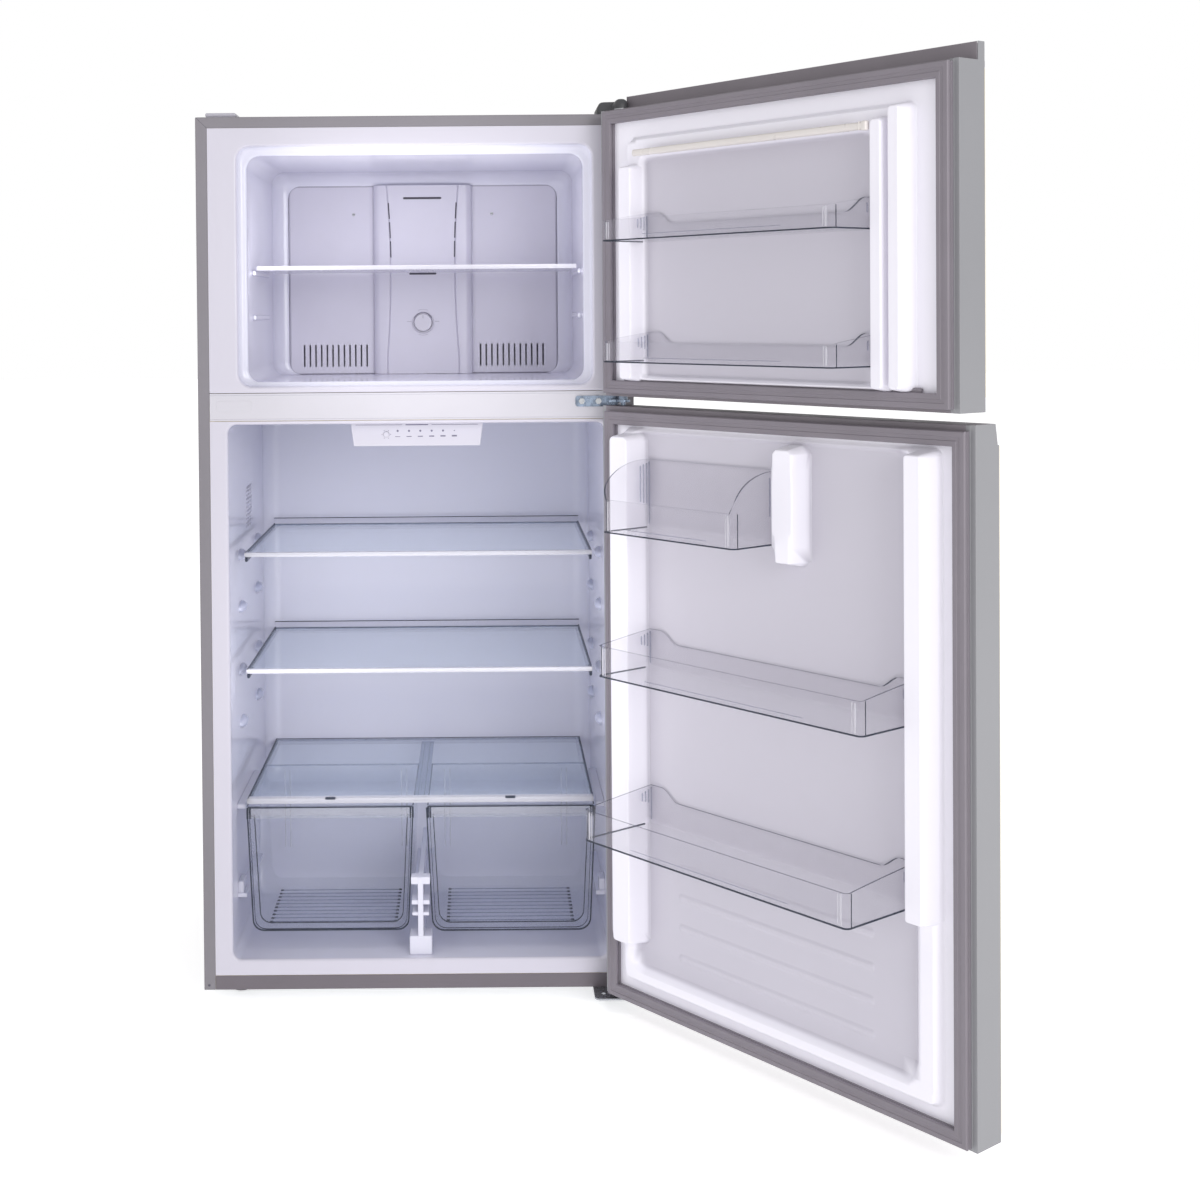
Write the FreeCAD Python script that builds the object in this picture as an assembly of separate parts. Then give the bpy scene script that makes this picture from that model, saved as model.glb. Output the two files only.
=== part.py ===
"""Top freezer refrigerator with two right-hinged doors, drawn with both doors open.

Millimetres, +Z up. The front of the cabinet faces -Y. The origin is on the floor, on the
cabinet's centre line, in the plane of the cabinet's front frame. Doors are drawn closed,
in front of y = 0, and then turned about their hinge pins to the open rest position.
"""

import FreeCAD, Part
import math
import os

from FreeCAD import Vector

# ---- driving dimensions ----
WIDTH = 760.0                # cabinet and doors
FEET_H = 28.0                # clearance under the cabinet
CABINET_H = 1527.0           # cabinet box alone
DEPTH = 620.0                # front frame to back panel
SHEET = 0.8                  # steel sheet
PLASTIC = 1.5                # formed liner wall
FRAME_SIDE = 20.0            # steel frame seen round the front of the cabinet
FRAME_TOP = 19.0
FRAME_BOTTOM = 25.0

FREEZER_RIM = (309.5, 1085.0, 1504.0)       # half width, bottom, top of the outer step
FREEZER_CAVITY = (294.5, 1091.5, 1489.0)
RIM_DEPTH = 22.0
FREEZER_DEPTH = 525.0
FRIDGE_CAVITY = (328.5, 80.5, 1019.0)
FRIDGE_DEPTH = 500.0
RAIL_Z = (1025.5, 1074.0)                   # divider rail between the compartments
LINER_ROUND = 24.0

MACHINE_FRONT = 430.0        # machine room at the lower back
MACHINE_TOP = 226.0
STEP_FRONT = 350.0           # the fridge floor rises behind the drawers
STEP_TOP = 262.0

DOOR_GAP = 13.5              # cabinet front to the door's inner face
DOOR_THICK = 58.8
FREEZER_DOOR_Z = (1067.4, 1555.0)
FRIDGE_DOOR_Z = (35.7, 1050.3)
LIP_TOP = 1581.0             # front edge standing up over the freezer door
LIP_THICK = 18.0
LIP_START = 20.0             # lip kept clear of the top hinge
SCOOP_Z = 1020.0             # front of the fridge door's top edge, cut down as a hand grip
CAP_H = 10.0                 # plastic end caps of the doors
EDGE_ROUND = 6.0

PIN_IN = 22.0                # hinge pin from the side of the cabinet
PIN_OUT = 40.0               # hinge pin in front of the cabinet
PIN_R = 4.0
PIN_BORE_R = 4.05
FREEZER_OPEN = 126.0
FRIDGE_OPEN = 128.5

SHELF_HALF = 308.0
SHELF_BACK = 488.0
GLASS = 4.0
UPPER_SHELF = (788.0, 45.0)                 # top of the glass, front edge
LOWER_SHELF = (578.0, 57.0)
CRISPER_COVER_Z = 350.0
CRISPER_COVER_FRONT = 46.0
CLEAR_WALL = 2.5                            # wall of the clear drawers and bins

DRAWER_TOP = (12.0, 309.0)                  # inner and outer side of a drawer at the top
DRAWER_BOTTOM = (21.0, 300.0)
DRAWER_Z = (115.0, 337.0)
DRAWER_Y = (46.0, 336.0)

# ---- helpers ----
HALF = WIDTH / 2
CABINET_TOP = FEET_H + CABINET_H
PIN_X = HALF - PIN_IN
DOOR_BACK = -DOOR_GAP
DOOR_FRONT = -DOOR_GAP - DOOR_THICK
X, Y, Z = Vector(1, 0, 0), Vector(0, 1, 0), Vector(0, 0, 1)

os.makedirs("parts", exist_ok=True)


def box(x0, x1, y0, y1, z0, z1):
    """Box between two corners."""
    return Part.makeBox(x1 - x0, y1 - y0, z1 - z0, Vector(x0, y0, z0))


def rod(radius, start, end):
    """Cylinder from one point to another."""
    start = Vector(*start)
    run = Vector(*end) - start
    return Part.makeCylinder(radius, run.Length, start, run)


def join(first, *others):
    """One solid out of touching solids."""
    return first.multiFuse(list(others)).removeSplitter()


def cut(body, *tools):
    """The body less the tools."""
    for tool in tools:
        body = body.cut(tool)
    return body


def edges_along(shape, axis, keep=lambda point: True):
    """Straight edges parallel to an axis whose midpoint passes the test."""
    found = []
    for edge in shape.Edges:
        run = edge.Vertexes[-1].Point - edge.Vertexes[0].Point
        if run.Length < 1e-6 or edge.Curve.TypeId != "Part::GeomLine":
            continue
        middle = (edge.Vertexes[-1].Point + edge.Vertexes[0].Point) * 0.5
        if abs(run.normalize().dot(axis)) > 0.999 and keep(middle):
            found.append(edge)
    return found


def rounded(shape, radius, axis, keep=lambda point: True):
    """The shape with its edges along one axis rounded."""
    return shape.makeFillet(radius, edges_along(shape, axis, keep))


def cavity(half, z0, z1, y0, y1, radius, grow=0.0):
    """The inside of a compartment: long edges and back edges rounded, front left square."""
    block = box(-half - grow, half + grow, y0, y1 + grow, z0 - grow, z1 + grow)
    r = radius + grow
    back = y1 + grow - 0.01
    edges = edges_along(block, Y)
    edges += edges_along(block, X, lambda p: p.y > back)
    edges += edges_along(block, Z, lambda p: p.y > back)
    return block.makeFillet(r, edges)


def prism(points, axis, start, end):
    """Flat polygon drawn in the plane across an axis, pushed out from start to end."""
    place = {"X": lambda a, b: Vector(start, a, b), "Y": lambda a, b: Vector(a, start, b)}[axis]
    outline = [place(a, b) for a, b in points]
    face = Part.Face(Part.makePolygon(outline + outline[:1]))
    return face.extrude((X if axis == "X" else Y) * (end - start))


def open_tray(x0, x1, y0, y1, z0, z1, wall, radius):
    """Box open at the top, with its upright edges rounded."""
    outer = rounded(box(x0, x1, y0, y1, z0, z1), radius, Z)
    inner = box(x0 + wall, x1 - wall, y0 + wall, y1 - wall, z0 + wall, z1 + 1)
    return outer.cut(rounded(inner, radius - wall, Z))


def save(shape, node):
    """Writes one node and stops if a solid is broken."""
    if not shape.isValid() or not shape.Solids:
        raise RuntimeError(node + " is not a valid solid")
    if len(shape.Solids) == 1:
        shape = shape.Solids[0]
    shape.exportStep("parts/" + node + ".step")
    print(node, len(shape.Solids), "solid(s)", round(shape.Volume / 1000), "cm3")


def opened(shape, angle):
    """A closed door's piece turned about the hinge pin to the rest position."""
    turned = shape.copy()
    turned.rotate(Vector(PIN_X, -PIN_OUT, 0), Z, angle)
    return turned


# ---- cabinet ----
FLANGE_X = HALF - FRAME_SIDE
FOAM_X = HALF - SHEET
FOAM_BACK = DEPTH - SHEET
FOOT_X, FOOT_Y = 325.0, 85.0
FOOT_STEM_R = 5.0
ROLLER_Y, ROLLER_R, ROLLER_W = 560.0, 13.0, 14.0
MID_PLATE_Z = (1046.5, 1065.5)
HINGE_T = 3.0
TONGUE_Z = 1056.0
MID_SCREWS = ((289.0, 1056.0), (318.0, 1056.0))
TOP_SCREWS = ((340.0, 30.0), (340.0, 72.0))
LOW_SCREWS = ((325.0, 12.0), (350.0, 40.0))
SCREW_R = 2.5


def cabinet_shell():
    """Bent steel wrapper: two sides, top and the frame folded round the front."""
    top = CABINET_TOP
    outer = box(-HALF, HALF, 0, DEPTH - SHEET, FEET_H, top)
    inner = box(-FOAM_X, FOAM_X, SHEET, DEPTH, FEET_H - 1, top - SHEET)
    window = box(-FLANGE_X, FLANGE_X, -1, SHEET + 1, FEET_H - 1, top - FRAME_TOP)
    shell = cut(outer, inner, window)
    for x, y in TOP_SCREWS:
        shell = shell.cut(rod(SCREW_R, (x, y, top - 5), (x, y, top + 5)))
    return shell


def base_rail():
    """Steel strip closing the frame under the fridge opening."""
    return box(-FLANGE_X, FLANGE_X, 0, SHEET, FEET_H, FEET_H + FRAME_BOTTOM)


def base_plate():
    """Bottom plate that steps up over the machine room."""
    floor = box(-FOAM_X, FOAM_X, SHEET, MACHINE_FRONT, FEET_H, FEET_H + PLASTIC)
    wall = box(-FOAM_X, FOAM_X, MACHINE_FRONT - PLASTIC, MACHINE_FRONT, FEET_H, MACHINE_TOP)
    lid = box(-FOAM_X, FOAM_X, MACHINE_FRONT - PLASTIC, FOAM_BACK, MACHINE_TOP - PLASTIC, MACHINE_TOP)
    plate = join(floor, wall, lid)
    for side in (-1, 1):
        hole = rod(FOOT_STEM_R + 0.05, (side * FOOT_X, FOOT_Y, 20), (side * FOOT_X, FOOT_Y, 40))
        plate = plate.cut(hole)
    for x, y in LOW_SCREWS:
        plate = plate.cut(rod(SCREW_R, (x, y, 20), (x, y, 40)))
    return plate


def compressor_tray():
    """Steel tray across the machine room, with the roller brackets and axles under it."""
    tray = box(-FOAM_X, FOAM_X, MACHINE_FRONT, FOAM_BACK, FEET_H, FEET_H + 2)
    pieces = [tray]
    for side in (-1, 1):
        x = side * FOOT_X
        for cheek in (-1, 1):
            at = x + cheek * (ROLLER_W / 2 + 2)
            pieces.append(box(at - 1, at + 1, ROLLER_Y - 9, ROLLER_Y + 9, ROLLER_R - 6, FEET_H + 1))
        reach = ROLLER_W / 2 + 2.5
        pieces.append(rod(3, (x - reach, ROLLER_Y, ROLLER_R), (x + reach, ROLLER_Y, ROLLER_R)))
    return join(*pieces)


def roller(side):
    """Small transport roller at the back."""
    x = side * FOOT_X
    half = ROLLER_W / 2
    wheel = rod(ROLLER_R, (x - half, ROLLER_Y, ROLLER_R), (x + half, ROLLER_Y, ROLLER_R))
    wheel = wheel.makeChamfer(1.0, [e for e in wheel.Edges if e.Curve.TypeId == "Part::GeomCircle"])
    return wheel.cut(rod(3.05, (x - 10, ROLLER_Y, ROLLER_R), (x + 10, ROLLER_Y, ROLLER_R)))


def foot(side):
    """Levelling foot: disc and threaded stem."""
    x = side * FOOT_X
    disc = rod(18, (x, FOOT_Y, 0), (x, FOOT_Y, 9))
    disc = disc.makeChamfer(1.5, [e for e in disc.Edges if e.Curve.TypeId == "Part::GeomCircle"])
    return join(disc, rod(FOOT_STEM_R, (x, FOOT_Y, 9), (x, FOOT_Y, 56)))


def freezer_liner():
    """White formed liner of the freezer: front flange, stepped rim and cavity."""
    half, low, high = FREEZER_RIM
    top = CABINET_TOP - FRAME_TOP
    flange = box(-FLANGE_X, FLANGE_X, 0, PLASTIC, RAIL_Z[1], top)
    rim = rounded(box(-half, half, -1, RIM_DEPTH, low, high), LINER_ROUND, Y)
    rim_out = rounded(
        box(-half - PLASTIC, half + PLASTIC, 0, RIM_DEPTH + PLASTIC, low - PLASTIC, high + PLASTIC),
        LINER_ROUND + PLASTIC, Y)
    inside = cavity(*FREEZER_CAVITY, RIM_DEPTH - 1, FREEZER_DEPTH, LINER_ROUND)
    outside = cavity(*FREEZER_CAVITY, RIM_DEPTH, FREEZER_DEPTH, LINER_ROUND, PLASTIC)
    liner = cut(join(flange, rim_out, outside), rim, inside)
    lugs = []
    for side in (-1, 1):
        for z in (1290.0, 1212.0):
            wall = side * FREEZER_CAVITY[0]
            lugs.append(box(min(wall, wall - side * 6), max(wall, wall - side * 6), 90, 300, z - 9, z))
    return join(liner, *lugs)


def fridge_liner():
    """White formed liner of the fridge, with the step over the machine room and shelf lugs."""
    half, low, high = FRIDGE_CAVITY
    flange = box(-FLANGE_X, FLANGE_X, 0, PLASTIC, FEET_H + FRAME_BOTTOM, RAIL_Z[0])
    inside = cavity(half, low, high, -1, FRIDGE_DEPTH, LINER_ROUND)
    outside = cavity(half, low, high, 0, FRIDGE_DEPTH, LINER_ROUND, PLASTIC)
    step = [(STEP_FRONT, low - 5), (STEP_FRONT + 45, STEP_TOP), (FRIDGE_DEPTH + 5, STEP_TOP),
            (FRIDGE_DEPTH + 5, low - 5)]
    under = [(a + PLASTIC, b - PLASTIC) for a, b in step]
    inside = inside.cut(prism(step, "X", -half - 5, half + 5))
    outside = outside.cut(prism(under, "X", -half - 5, half + 5))
    liner = cut(join(flange, outside), inside)
    lugs = []
    for side in (-1, 1):
        a, b = sorted((side * half, side * (SHELF_HALF + 1)))
        for shelf_z, front in (UPPER_SHELF, LOWER_SHELF):
            for drop in (0, 95):
                z = shelf_z - GLASS - 0.5 - drop
                lugs.append(box(a, b, 110, 180, z - 8, z))
                lugs.append(box(a, b, 330, 400, z - 8, z))
        lugs.append(box(a, b, CRISPER_COVER_FRONT + 20, 330, CRISPER_COVER_Z - 22, CRISPER_COVER_Z - 13.5))
    return join(liner, *lugs)


def cabinet_foam():
    """Insulation in the walls, as the blocks between the wrapper and the liners."""
    back_f = FREEZER_DEPTH + PLASTIC
    back_r = FRIDGE_DEPTH + PLASTIC
    fz, fr = FREEZER_CAVITY, FRIDGE_CAVITY
    front = RIM_DEPTH + PLASTIC
    top = CABINET_TOP - SHEET
    split = 1050.0
    base = FEET_H + PLASTIC
    blocks = []
    for side in (-1, 1):
        a, b = sorted((side * FOAM_X, side * (fz[0] + PLASTIC)))
        blocks.append(box(a, b, front, back_f, split, top))
        a, b = sorted((side * FOAM_X, side * (fr[0] + PLASTIC)))
        blocks.append(box(a, b, PLASTIC, back_r, MACHINE_TOP, split))
        blocks.append(box(a, b, PLASTIC, MACHINE_FRONT - PLASTIC, base, MACHINE_TOP))
    blocks.append(box(-FOAM_X, FOAM_X, back_f, FOAM_BACK, split, top))
    blocks.append(box(-FOAM_X, FOAM_X, back_r, FOAM_BACK, MACHINE_TOP, split))
    inner = fz[0] + PLASTIC
    blocks.append(box(-inner, inner, front, back_f, fz[2] + PLASTIC, top))
    blocks.append(box(-inner, inner, front, back_f, split, fz[1] - PLASTIC))
    inner = fr[0] + PLASTIC
    blocks.append(box(-inner, inner, PLASTIC, back_r, fr[2] + PLASTIC, split))
    low = fr[1] - PLASTIC
    slope_at_low = STEP_FRONT + PLASTIC + 45 * 5 / (STEP_TOP - fr[1] + 5)
    wedge = [(PLASTIC, base), (MACHINE_FRONT - PLASTIC, base), (MACHINE_FRONT - PLASTIC, MACHINE_TOP),
             (back_r, MACHINE_TOP), (back_r, STEP_TOP - PLASTIC),
             (STEP_FRONT + 45 + PLASTIC, STEP_TOP - PLASTIC), (slope_at_low, low), (PLASTIC, low)]
    blocks.append(prism(wedge, "X", -inner, inner))
    pockets = [rod(9, (side * FOOT_X, FOOT_Y, base - 1), (side * FOOT_X, FOOT_Y, 60)) for side in (-1, 1)]
    pockets += [rod(SCREW_R, (x, -1, z), (x, 25, z)) for x, z in MID_SCREWS]
    pockets += [rod(SCREW_R, (x, y, top - 12), (x, y, top + 1)) for x, y in TOP_SCREWS]
    pockets += [rod(SCREW_R, (x, y, base - 1), (x, y, base + 12)) for x, y in LOW_SCREWS]
    return Part.Compound([cut(block, *pockets) for block in blocks])


def divider_rail():
    """White rail between the two openings."""
    rail = box(-FLANGE_X, FLANGE_X, 0, PLASTIC, *RAIL_Z)
    for x, z in MID_SCREWS:
        rail = rail.cut(rod(SCREW_R, (x, -1, z), (x, 5, z)))
    return rail


def rail_plug():
    """Oblong cover over the unused hinge holes on the other side of the rail."""
    return rounded(box(-347, -286, -0.9, 0, 1042, 1061), 4, Y)


def hinge_hole_cap():
    """White cap over the unused top hinge holes."""
    cap = box(-368, -314, 36, 92, CABINET_TOP, CABINET_TOP + 12)
    return rounded(cap, 6, Z)


# ---- freezer inside ----
COVER_Y = 432.0
DUCT_FRONT = 414.0
KNOB_Z = 1193.0
FAN_Z = 1390.0


def evaporator_cover():
    """Flat panel across the back of the freezer, with two return air grilles."""
    z0, z1 = FREEZER_CAVITY[1] + 0.5, 1465.0
    panel = rounded(box(-266, 266, COVER_Y, COVER_Y + 3, z0, z1), 18, Y, lambda p: p.z > 1300)
    slots = []
    for centre in (-175.0, 175.0):
        for i in range(12):
            x = centre - 62 + i * 11.3
            slots.append(box(x - 1.5, x + 1.5, COVER_Y - 1, COVER_Y + 4, z0 + 14, z0 + 58))
    panel = cut(panel, Part.Compound(slots))
    return panel.cut(rod(52, (0, COVER_Y - 1, FAN_Z), (0, COVER_Y + 4, FAN_Z)))


def air_duct_cover():
    """Raised air tower over the fan, with outlet slots."""
    z0, z1 = FREEZER_CAVITY[1] + 0.5, 1464.0
    profile = [(-99, COVER_Y), (-72, DUCT_FRONT), (72, DUCT_FRONT), (99, COVER_Y)]
    hollow = [(-95, COVER_Y + 0.1), (-70, DUCT_FRONT + 2), (70, DUCT_FRONT + 2), (95, COVER_Y + 0.1)]

    def tower(points, low, high):
        outline = [Vector(x, y, low) for x, y in points]
        face = Part.Face(Part.makePolygon(outline + outline[:1]))
        return face.extrude(Z * (high - low))

    cover = cut(tower(profile, z0, z1), tower(hollow, z0 + 2, z1 - 2))
    slots = [box(-38, 38, 400, COVER_Y - 1, 1436, 1441), box(-27, 27, 400, COVER_Y - 1, 1287, 1292)]
    for side in (-1, 1):
        for k in range(3):
            z = 1322 + k * 38
            a, b = sorted((side * 50, side * 54))
            slots.append(box(a, b, 400, DUCT_FRONT + 3, z, z + 32))
    bore = rod(4.05, (0, 400, KNOB_Z), (0, COVER_Y - 2, KNOB_Z))
    return cut(cover, *slots, bore)


def airflow_knob():
    """Round knob: a wide dial with a raised grip disc."""
    dial = rod(21, (0, DUCT_FRONT - 0.4, KNOB_Z), (0, DUCT_FRONT - 6, KNOB_Z))
    grip = rod(17, (0, DUCT_FRONT - 6, KNOB_Z), (0, DUCT_FRONT - 13, KNOB_Z))
    shaft = rod(4, (0, DUCT_FRONT - 1, KNOB_Z), (0, DUCT_FRONT + 10, KNOB_Z))
    return join(dial, grip, shaft)


def evaporator_coil():
    """Finned coil behind the cover: side plates, tubes and fins."""
    y0, y1, z0, z1 = 450.0, 505.0, 1140.0, 1320.0
    pieces = []
    for row in range(5):
        z = z0 + 18 + row * 36
        for y in (y0 + 14, y1 - 14):
            pieces.append(rod(4, (-225, y, z), (225, y, z)))
    for k in range(16):
        x = -210 + k * 28
        pieces.append(box(x - 0.4, x + 0.4, y0, y1, z0, z1))
    return join(*pieces)


def fan_motor():
    """Motor of the freezer fan on its bracket."""
    can = rod(22, (0, 470, FAN_Z), (0, 500, FAN_Z))
    bracket = box(-60, 60, 500, 503, FAN_Z - 12, FAN_Z + 12)
    shaft = rod(2.5, (0, 440, FAN_Z), (0, 471, FAN_Z))
    return join(can, bracket, shaft)


def evaporator_fan():
    """Four-bladed fan."""
    hub = rod(14, (0, 444, FAN_Z), (0, 464, FAN_Z))
    pieces = [hub]
    for k in range(4):
        blade = box(10, 46, -1, 1, -14, 14)
        blade.rotate(Vector(0, 0, 0), X, 35)
        blade = blade.common(box(8, 47, -9, 9, -20, 20))
        blade.rotate(Vector(0, 0, 0), Y, 90 * k)
        blade.translate(Vector(0, 454, FAN_Z))
        pieces.append(blade)
    return join(*pieces).cut(rod(2.55, (0, 440, FAN_Z), (0, 470, FAN_Z)))


def freezer_shelf():
    """Thin shelf with a thicker front edge."""
    half, front, back, z = 286.0, 80.0, 405.0, 1291.0
    deck = box(-half, half, front + 8, back, z, z + 4)
    edge = rounded(box(-half, half, front, front + 10, z - 1, z + 7), 2, X)
    return join(deck, edge)


# ---- fridge inside ----
HOUSING_Y = 36.0             # front of the control housing


def control_housing():
    """Tapered housing under the divider, open for the button."""
    low, high = 977.5, FRIDGE_CAVITY[2]
    profile = [(-115, high), (115, high), (110, low), (-110, low)]
    body = prism(profile, "Y", HOUSING_Y, 200)
    room = prism([(-110, high - 3), (110, high - 3), (105, low + 2.5), (-105, low + 2.5)], "Y",
                 HOUSING_Y + 2.5, 197)
    body = body.cut(room)
    return body.cut(rod(5.3, (-54, HOUSING_Y - 4, 998), (-54, HOUSING_Y + 4, 998)))


def control_button():
    """Round push button in the housing."""
    cap = rod(5, (-54, HOUSING_Y - 2, 998), (-54, HOUSING_Y + 7, 998))
    return join(cap, rod(7, (-54, HOUSING_Y + 7, 998), (-54, HOUSING_Y + 9, 998)))


def light_lens():
    """Lens of the interior lamp behind the control housing."""
    return rounded(box(-60, 60, 210, 290, FRIDGE_CAVITY[2] - 12, FRIDGE_CAVITY[2]), 8, Z)


def shelf_glass(z, front):
    """Glass plate of a shelf."""
    return box(-SHELF_HALF + 3, SHELF_HALF - 3, front + 4, SHELF_BACK - 4, z - GLASS, z)


def shelf_trim(z, front):
    """Slim frame holding the glass: front bead, back bar with an upstand, side edges."""
    ring = box(-SHELF_HALF, SHELF_HALF, front, SHELF_BACK, z - GLASS - 3, z + 1.5)
    pane = box(-SHELF_HALF + 3, SHELF_HALF - 3, front + 4, SHELF_BACK - 4, z - GLASS, z)
    window = box(-SHELF_HALF + 12, SHELF_HALF - 12, front + 14, SHELF_BACK - 14, z - 20, z + 20)
    upstand = box(-SHELF_HALF, SHELF_HALF, SHELF_BACK - 4, SHELF_BACK, z, z + 12)
    return cut(join(ring, upstand), pane, window)


def crisper_cover_glass():
    """Glass plate over the drawers."""
    z = CRISPER_COVER_Z
    return box(-SHELF_HALF + 3, SHELF_HALF - 3, CRISPER_COVER_FRONT + 10, SHELF_BACK - 4, z - GLASS, z)


def crisper_cover_frame():
    """Frame under the crisper glass, with a front fascia and a middle bar."""
    z = CRISPER_COVER_Z
    front = CRISPER_COVER_FRONT
    ring = box(-SHELF_HALF, SHELF_HALF, front, SHELF_BACK, z - 9, z + 1)
    pane = box(-SHELF_HALF + 3, SHELF_HALF - 3, front + 10, SHELF_BACK - 4, z - GLASS, z + 2)
    left = box(-SHELF_HALF + 14, -14, front + 22, SHELF_BACK - 14, z - 20, z + 20)
    right = box(14, SHELF_HALF - 14, front + 22, SHELF_BACK - 14, z - 20, z + 20)
    return cut(ring, pane, left, right)


def crisper_guide():
    """Floor guide between the drawers: foot, upright and two ledges."""
    floor = FRIDGE_CAVITY[1]
    block = box(-20, 20, 14, 60, floor, floor + 34)
    upright = box(-5, 5, 14, 320, floor, 218)
    ledges = box(-15, 15, 18, 320, 170, 176)
    return join(block, upright, ledges)


def crisper_drawer(side):
    """Clear drawer with tapered sides, rounded bottom edges and ribs on its floor."""
    (in_t, out_t), (in_b, out_b), (z0, z1) = DRAWER_TOP, DRAWER_BOTTOM, DRAWER_Z
    y0, y1 = DRAWER_Y
    wall = CLEAR_WALL

    def body(grow, low, ya, yb, high):
        points = [(in_b + grow, low), (out_b - grow, low), (out_t - grow, high), (in_t + grow, high)]
        shape = prism(points, "Y", ya, yb)
        return rounded(shape, 20 - grow, Y, lambda p: p.z < low + 1)

    tray = body(0, z0, y0, y1, z1).cut(body(wall, z0 + wall, y0 + wall, y1 - wall, z1 + 0.01))
    ribs = [box(45, 276, y, y + 2.5, z0 + wall - 0.5, z0 + wall + 2) for y in range(62, 300, 21)]
    tray = join(tray, *ribs)
    handle = box(in_t + 8, out_t - 8, y0 - 8, y0 + 1, z1 - 18, z1 - 14)
    tray = join(tray, handle)
    if side < 0:
        tray = tray.mirror(Vector(0, 0, 0), X)
    return tray


# ---- hinges ----
def top_hinge():
    """Plate on the cabinet top with the pin that drops into the freezer door."""
    z = CABINET_TOP
    arm = join(box(326, 364, 5, 96, z, z + HINGE_T),
               box(PIN_X - 12, PIN_X + 3, -PIN_OUT, 6, z + 1, z + 1 + HINGE_T))
    eye = rod(12, (PIN_X, -PIN_OUT, z + 1), (PIN_X, -PIN_OUT, z + 1 + HINGE_T))
    pin = rod(PIN_R, (PIN_X, -PIN_OUT, z - 8), (PIN_X, -PIN_OUT, z + 2))
    hinge = join(arm, eye, pin)
    for x, y in TOP_SCREWS:
        hinge = hinge.cut(rod(SCREW_R, (x, y, z - 5), (x, y, z + 10)))
    return hinge


def top_hinge_cover():
    """Dark cover over the top hinge."""
    z = CABINET_TOP
    outer = box(320, 368, 2, 100, z, z + 21)
    nose = box(PIN_X - 14, PIN_X + 6, -PIN_OUT, 4, z + 5, z + 21)
    tip = rod(14, (PIN_X - 2, -PIN_OUT, z + 5), (PIN_X - 2, -PIN_OUT, z + 21))
    tip = tip.common(box(PIN_X - 16, PIN_X + 6, -PIN_OUT - 9, 0, z, z + 40))
    body = join(outer, nose, tip)
    hollow = join(box(322, 366, 4, 98, z - 1, z + 19),
                  box(PIN_X - 12.5, PIN_X + 4, -PIN_OUT + 1, 6, z - 1, z + 19))
    return body.cut(hollow)


def middle_hinge():
    """Plate screwed to the rail, with a tongue and pins for both doors."""
    z = TONGUE_Z
    plate = rounded(box(278, 352, -HINGE_T, 0, *MID_PLATE_Z), 5, Y, lambda p: p.x < 300)
    tongue = box(334, PIN_X + 8, -PIN_OUT, -HINGE_T + 1, z, z + 4)
    eye = rod(12, (PIN_X, -PIN_OUT, z), (PIN_X, -PIN_OUT, z + 4))
    pin = rod(PIN_R, (PIN_X, -PIN_OUT, FRIDGE_DOOR_Z[1] - 8), (PIN_X, -PIN_OUT, FREEZER_DOOR_Z[0] + 8))
    collar = rod(8, (PIN_X, -PIN_OUT, z + 4), (PIN_X, -PIN_OUT, FREEZER_DOOR_Z[0] - 0.5))
    hinge = join(plate, tongue, eye, pin, collar)
    for x, zz in MID_SCREWS:
        hinge = hinge.cut(rod(SCREW_R, (x, -5, zz), (x, 1, zz)))
    return hinge


def bottom_hinge():
    """Plate under the cabinet carrying the fridge door on its pin."""
    z1 = FEET_H
    z0 = z1 - HINGE_T
    plate = box(302, 370, -54, 62, z0, z1)
    plate = rounded(plate, 10, Z)
    plate = cut(plate, rod(4, (318, -30, z0 - 1), (318, -30, z1 + 1)))
    pin = rod(PIN_R, (PIN_X, -PIN_OUT, z0 + 1), (PIN_X, -PIN_OUT, FRIDGE_DOOR_Z[0] + 8))
    collar = rod(8, (PIN_X, -PIN_OUT, z1 - 1), (PIN_X, -PIN_OUT, FRIDGE_DOOR_Z[0] - 0.4))
    hinge = join(plate, pin, collar)
    for x, y in LOW_SCREWS:
        hinge = hinge.cut(rod(SCREW_R, (x, y, z0 - 1), (x, y, z1 + 1)))
    return hinge


def screw(seat, way, grip):
    """Hex-headed screw: seat is where the head rests, way points from head to tip."""
    seat, way = Vector(*seat), Vector(*way)
    head_end = seat - way * 3.5
    turn = FreeCAD.Rotation(Z, way)
    corners = [Vector(5.5 * math.cos(math.radians(60 * k)), 5.5 * math.sin(math.radians(60 * k)), 0)
               for k in range(6)]
    outline = [head_end + turn.multVec(c) for c in corners]
    head = Part.Face(Part.makePolygon(outline + outline[:1])).extrude(way * 3.5)
    return join(head, Part.makeCylinder(SCREW_R, grip, seat, way))


def hinge_screws():
    """All screws that hold the three hinges to the cabinet."""
    top = CABINET_TOP + HINGE_T
    screws = [screw((x, y, top), (0, 0, -1), 13) for x, y in TOP_SCREWS]
    screws += [screw((x, -HINGE_T, z), (0, 1, 0), 15) for x, z in MID_SCREWS]
    screws += [screw((x, y, FEET_H - HINGE_T), (0, 0, 1), 12) for x, y in LOW_SCREWS]
    return Part.Compound(screws)


# ---- machine room ----
def compressor():
    """Hermetic compressor: welded can with a foot plate and tube stubs."""
    x, y, z = 150.0, 525.0, 52.0
    lower = Part.makeCylinder(72, 60, Vector(x, y, z))
    dome = Part.makeSphere(92, Vector(x, y, z + 32))
    dome = dome.common(Part.makeCylinder(72, 200, Vector(x, y, z + 40)))
    feet = rounded(box(x - 95, x + 95, y - 50, y + 50, z - 4, z + 2), 12, Z)
    stub = rod(4, (x - 60, y + 10, z + 30), (x - 105, y + 10, z + 30))
    return join(lower, dome, feet, stub)


def compressor_grommets():
    """Four rubber grommets under the compressor's foot plate."""
    posts = [rod(10, (150 + sx * 82, 525 + sy * 38, FEET_H + 2), (150 + sx * 82, 525 + sy * 38, 48))
             for sx in (-1, 1) for sy in (-1, 1)]
    return Part.Compound(posts)


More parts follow.
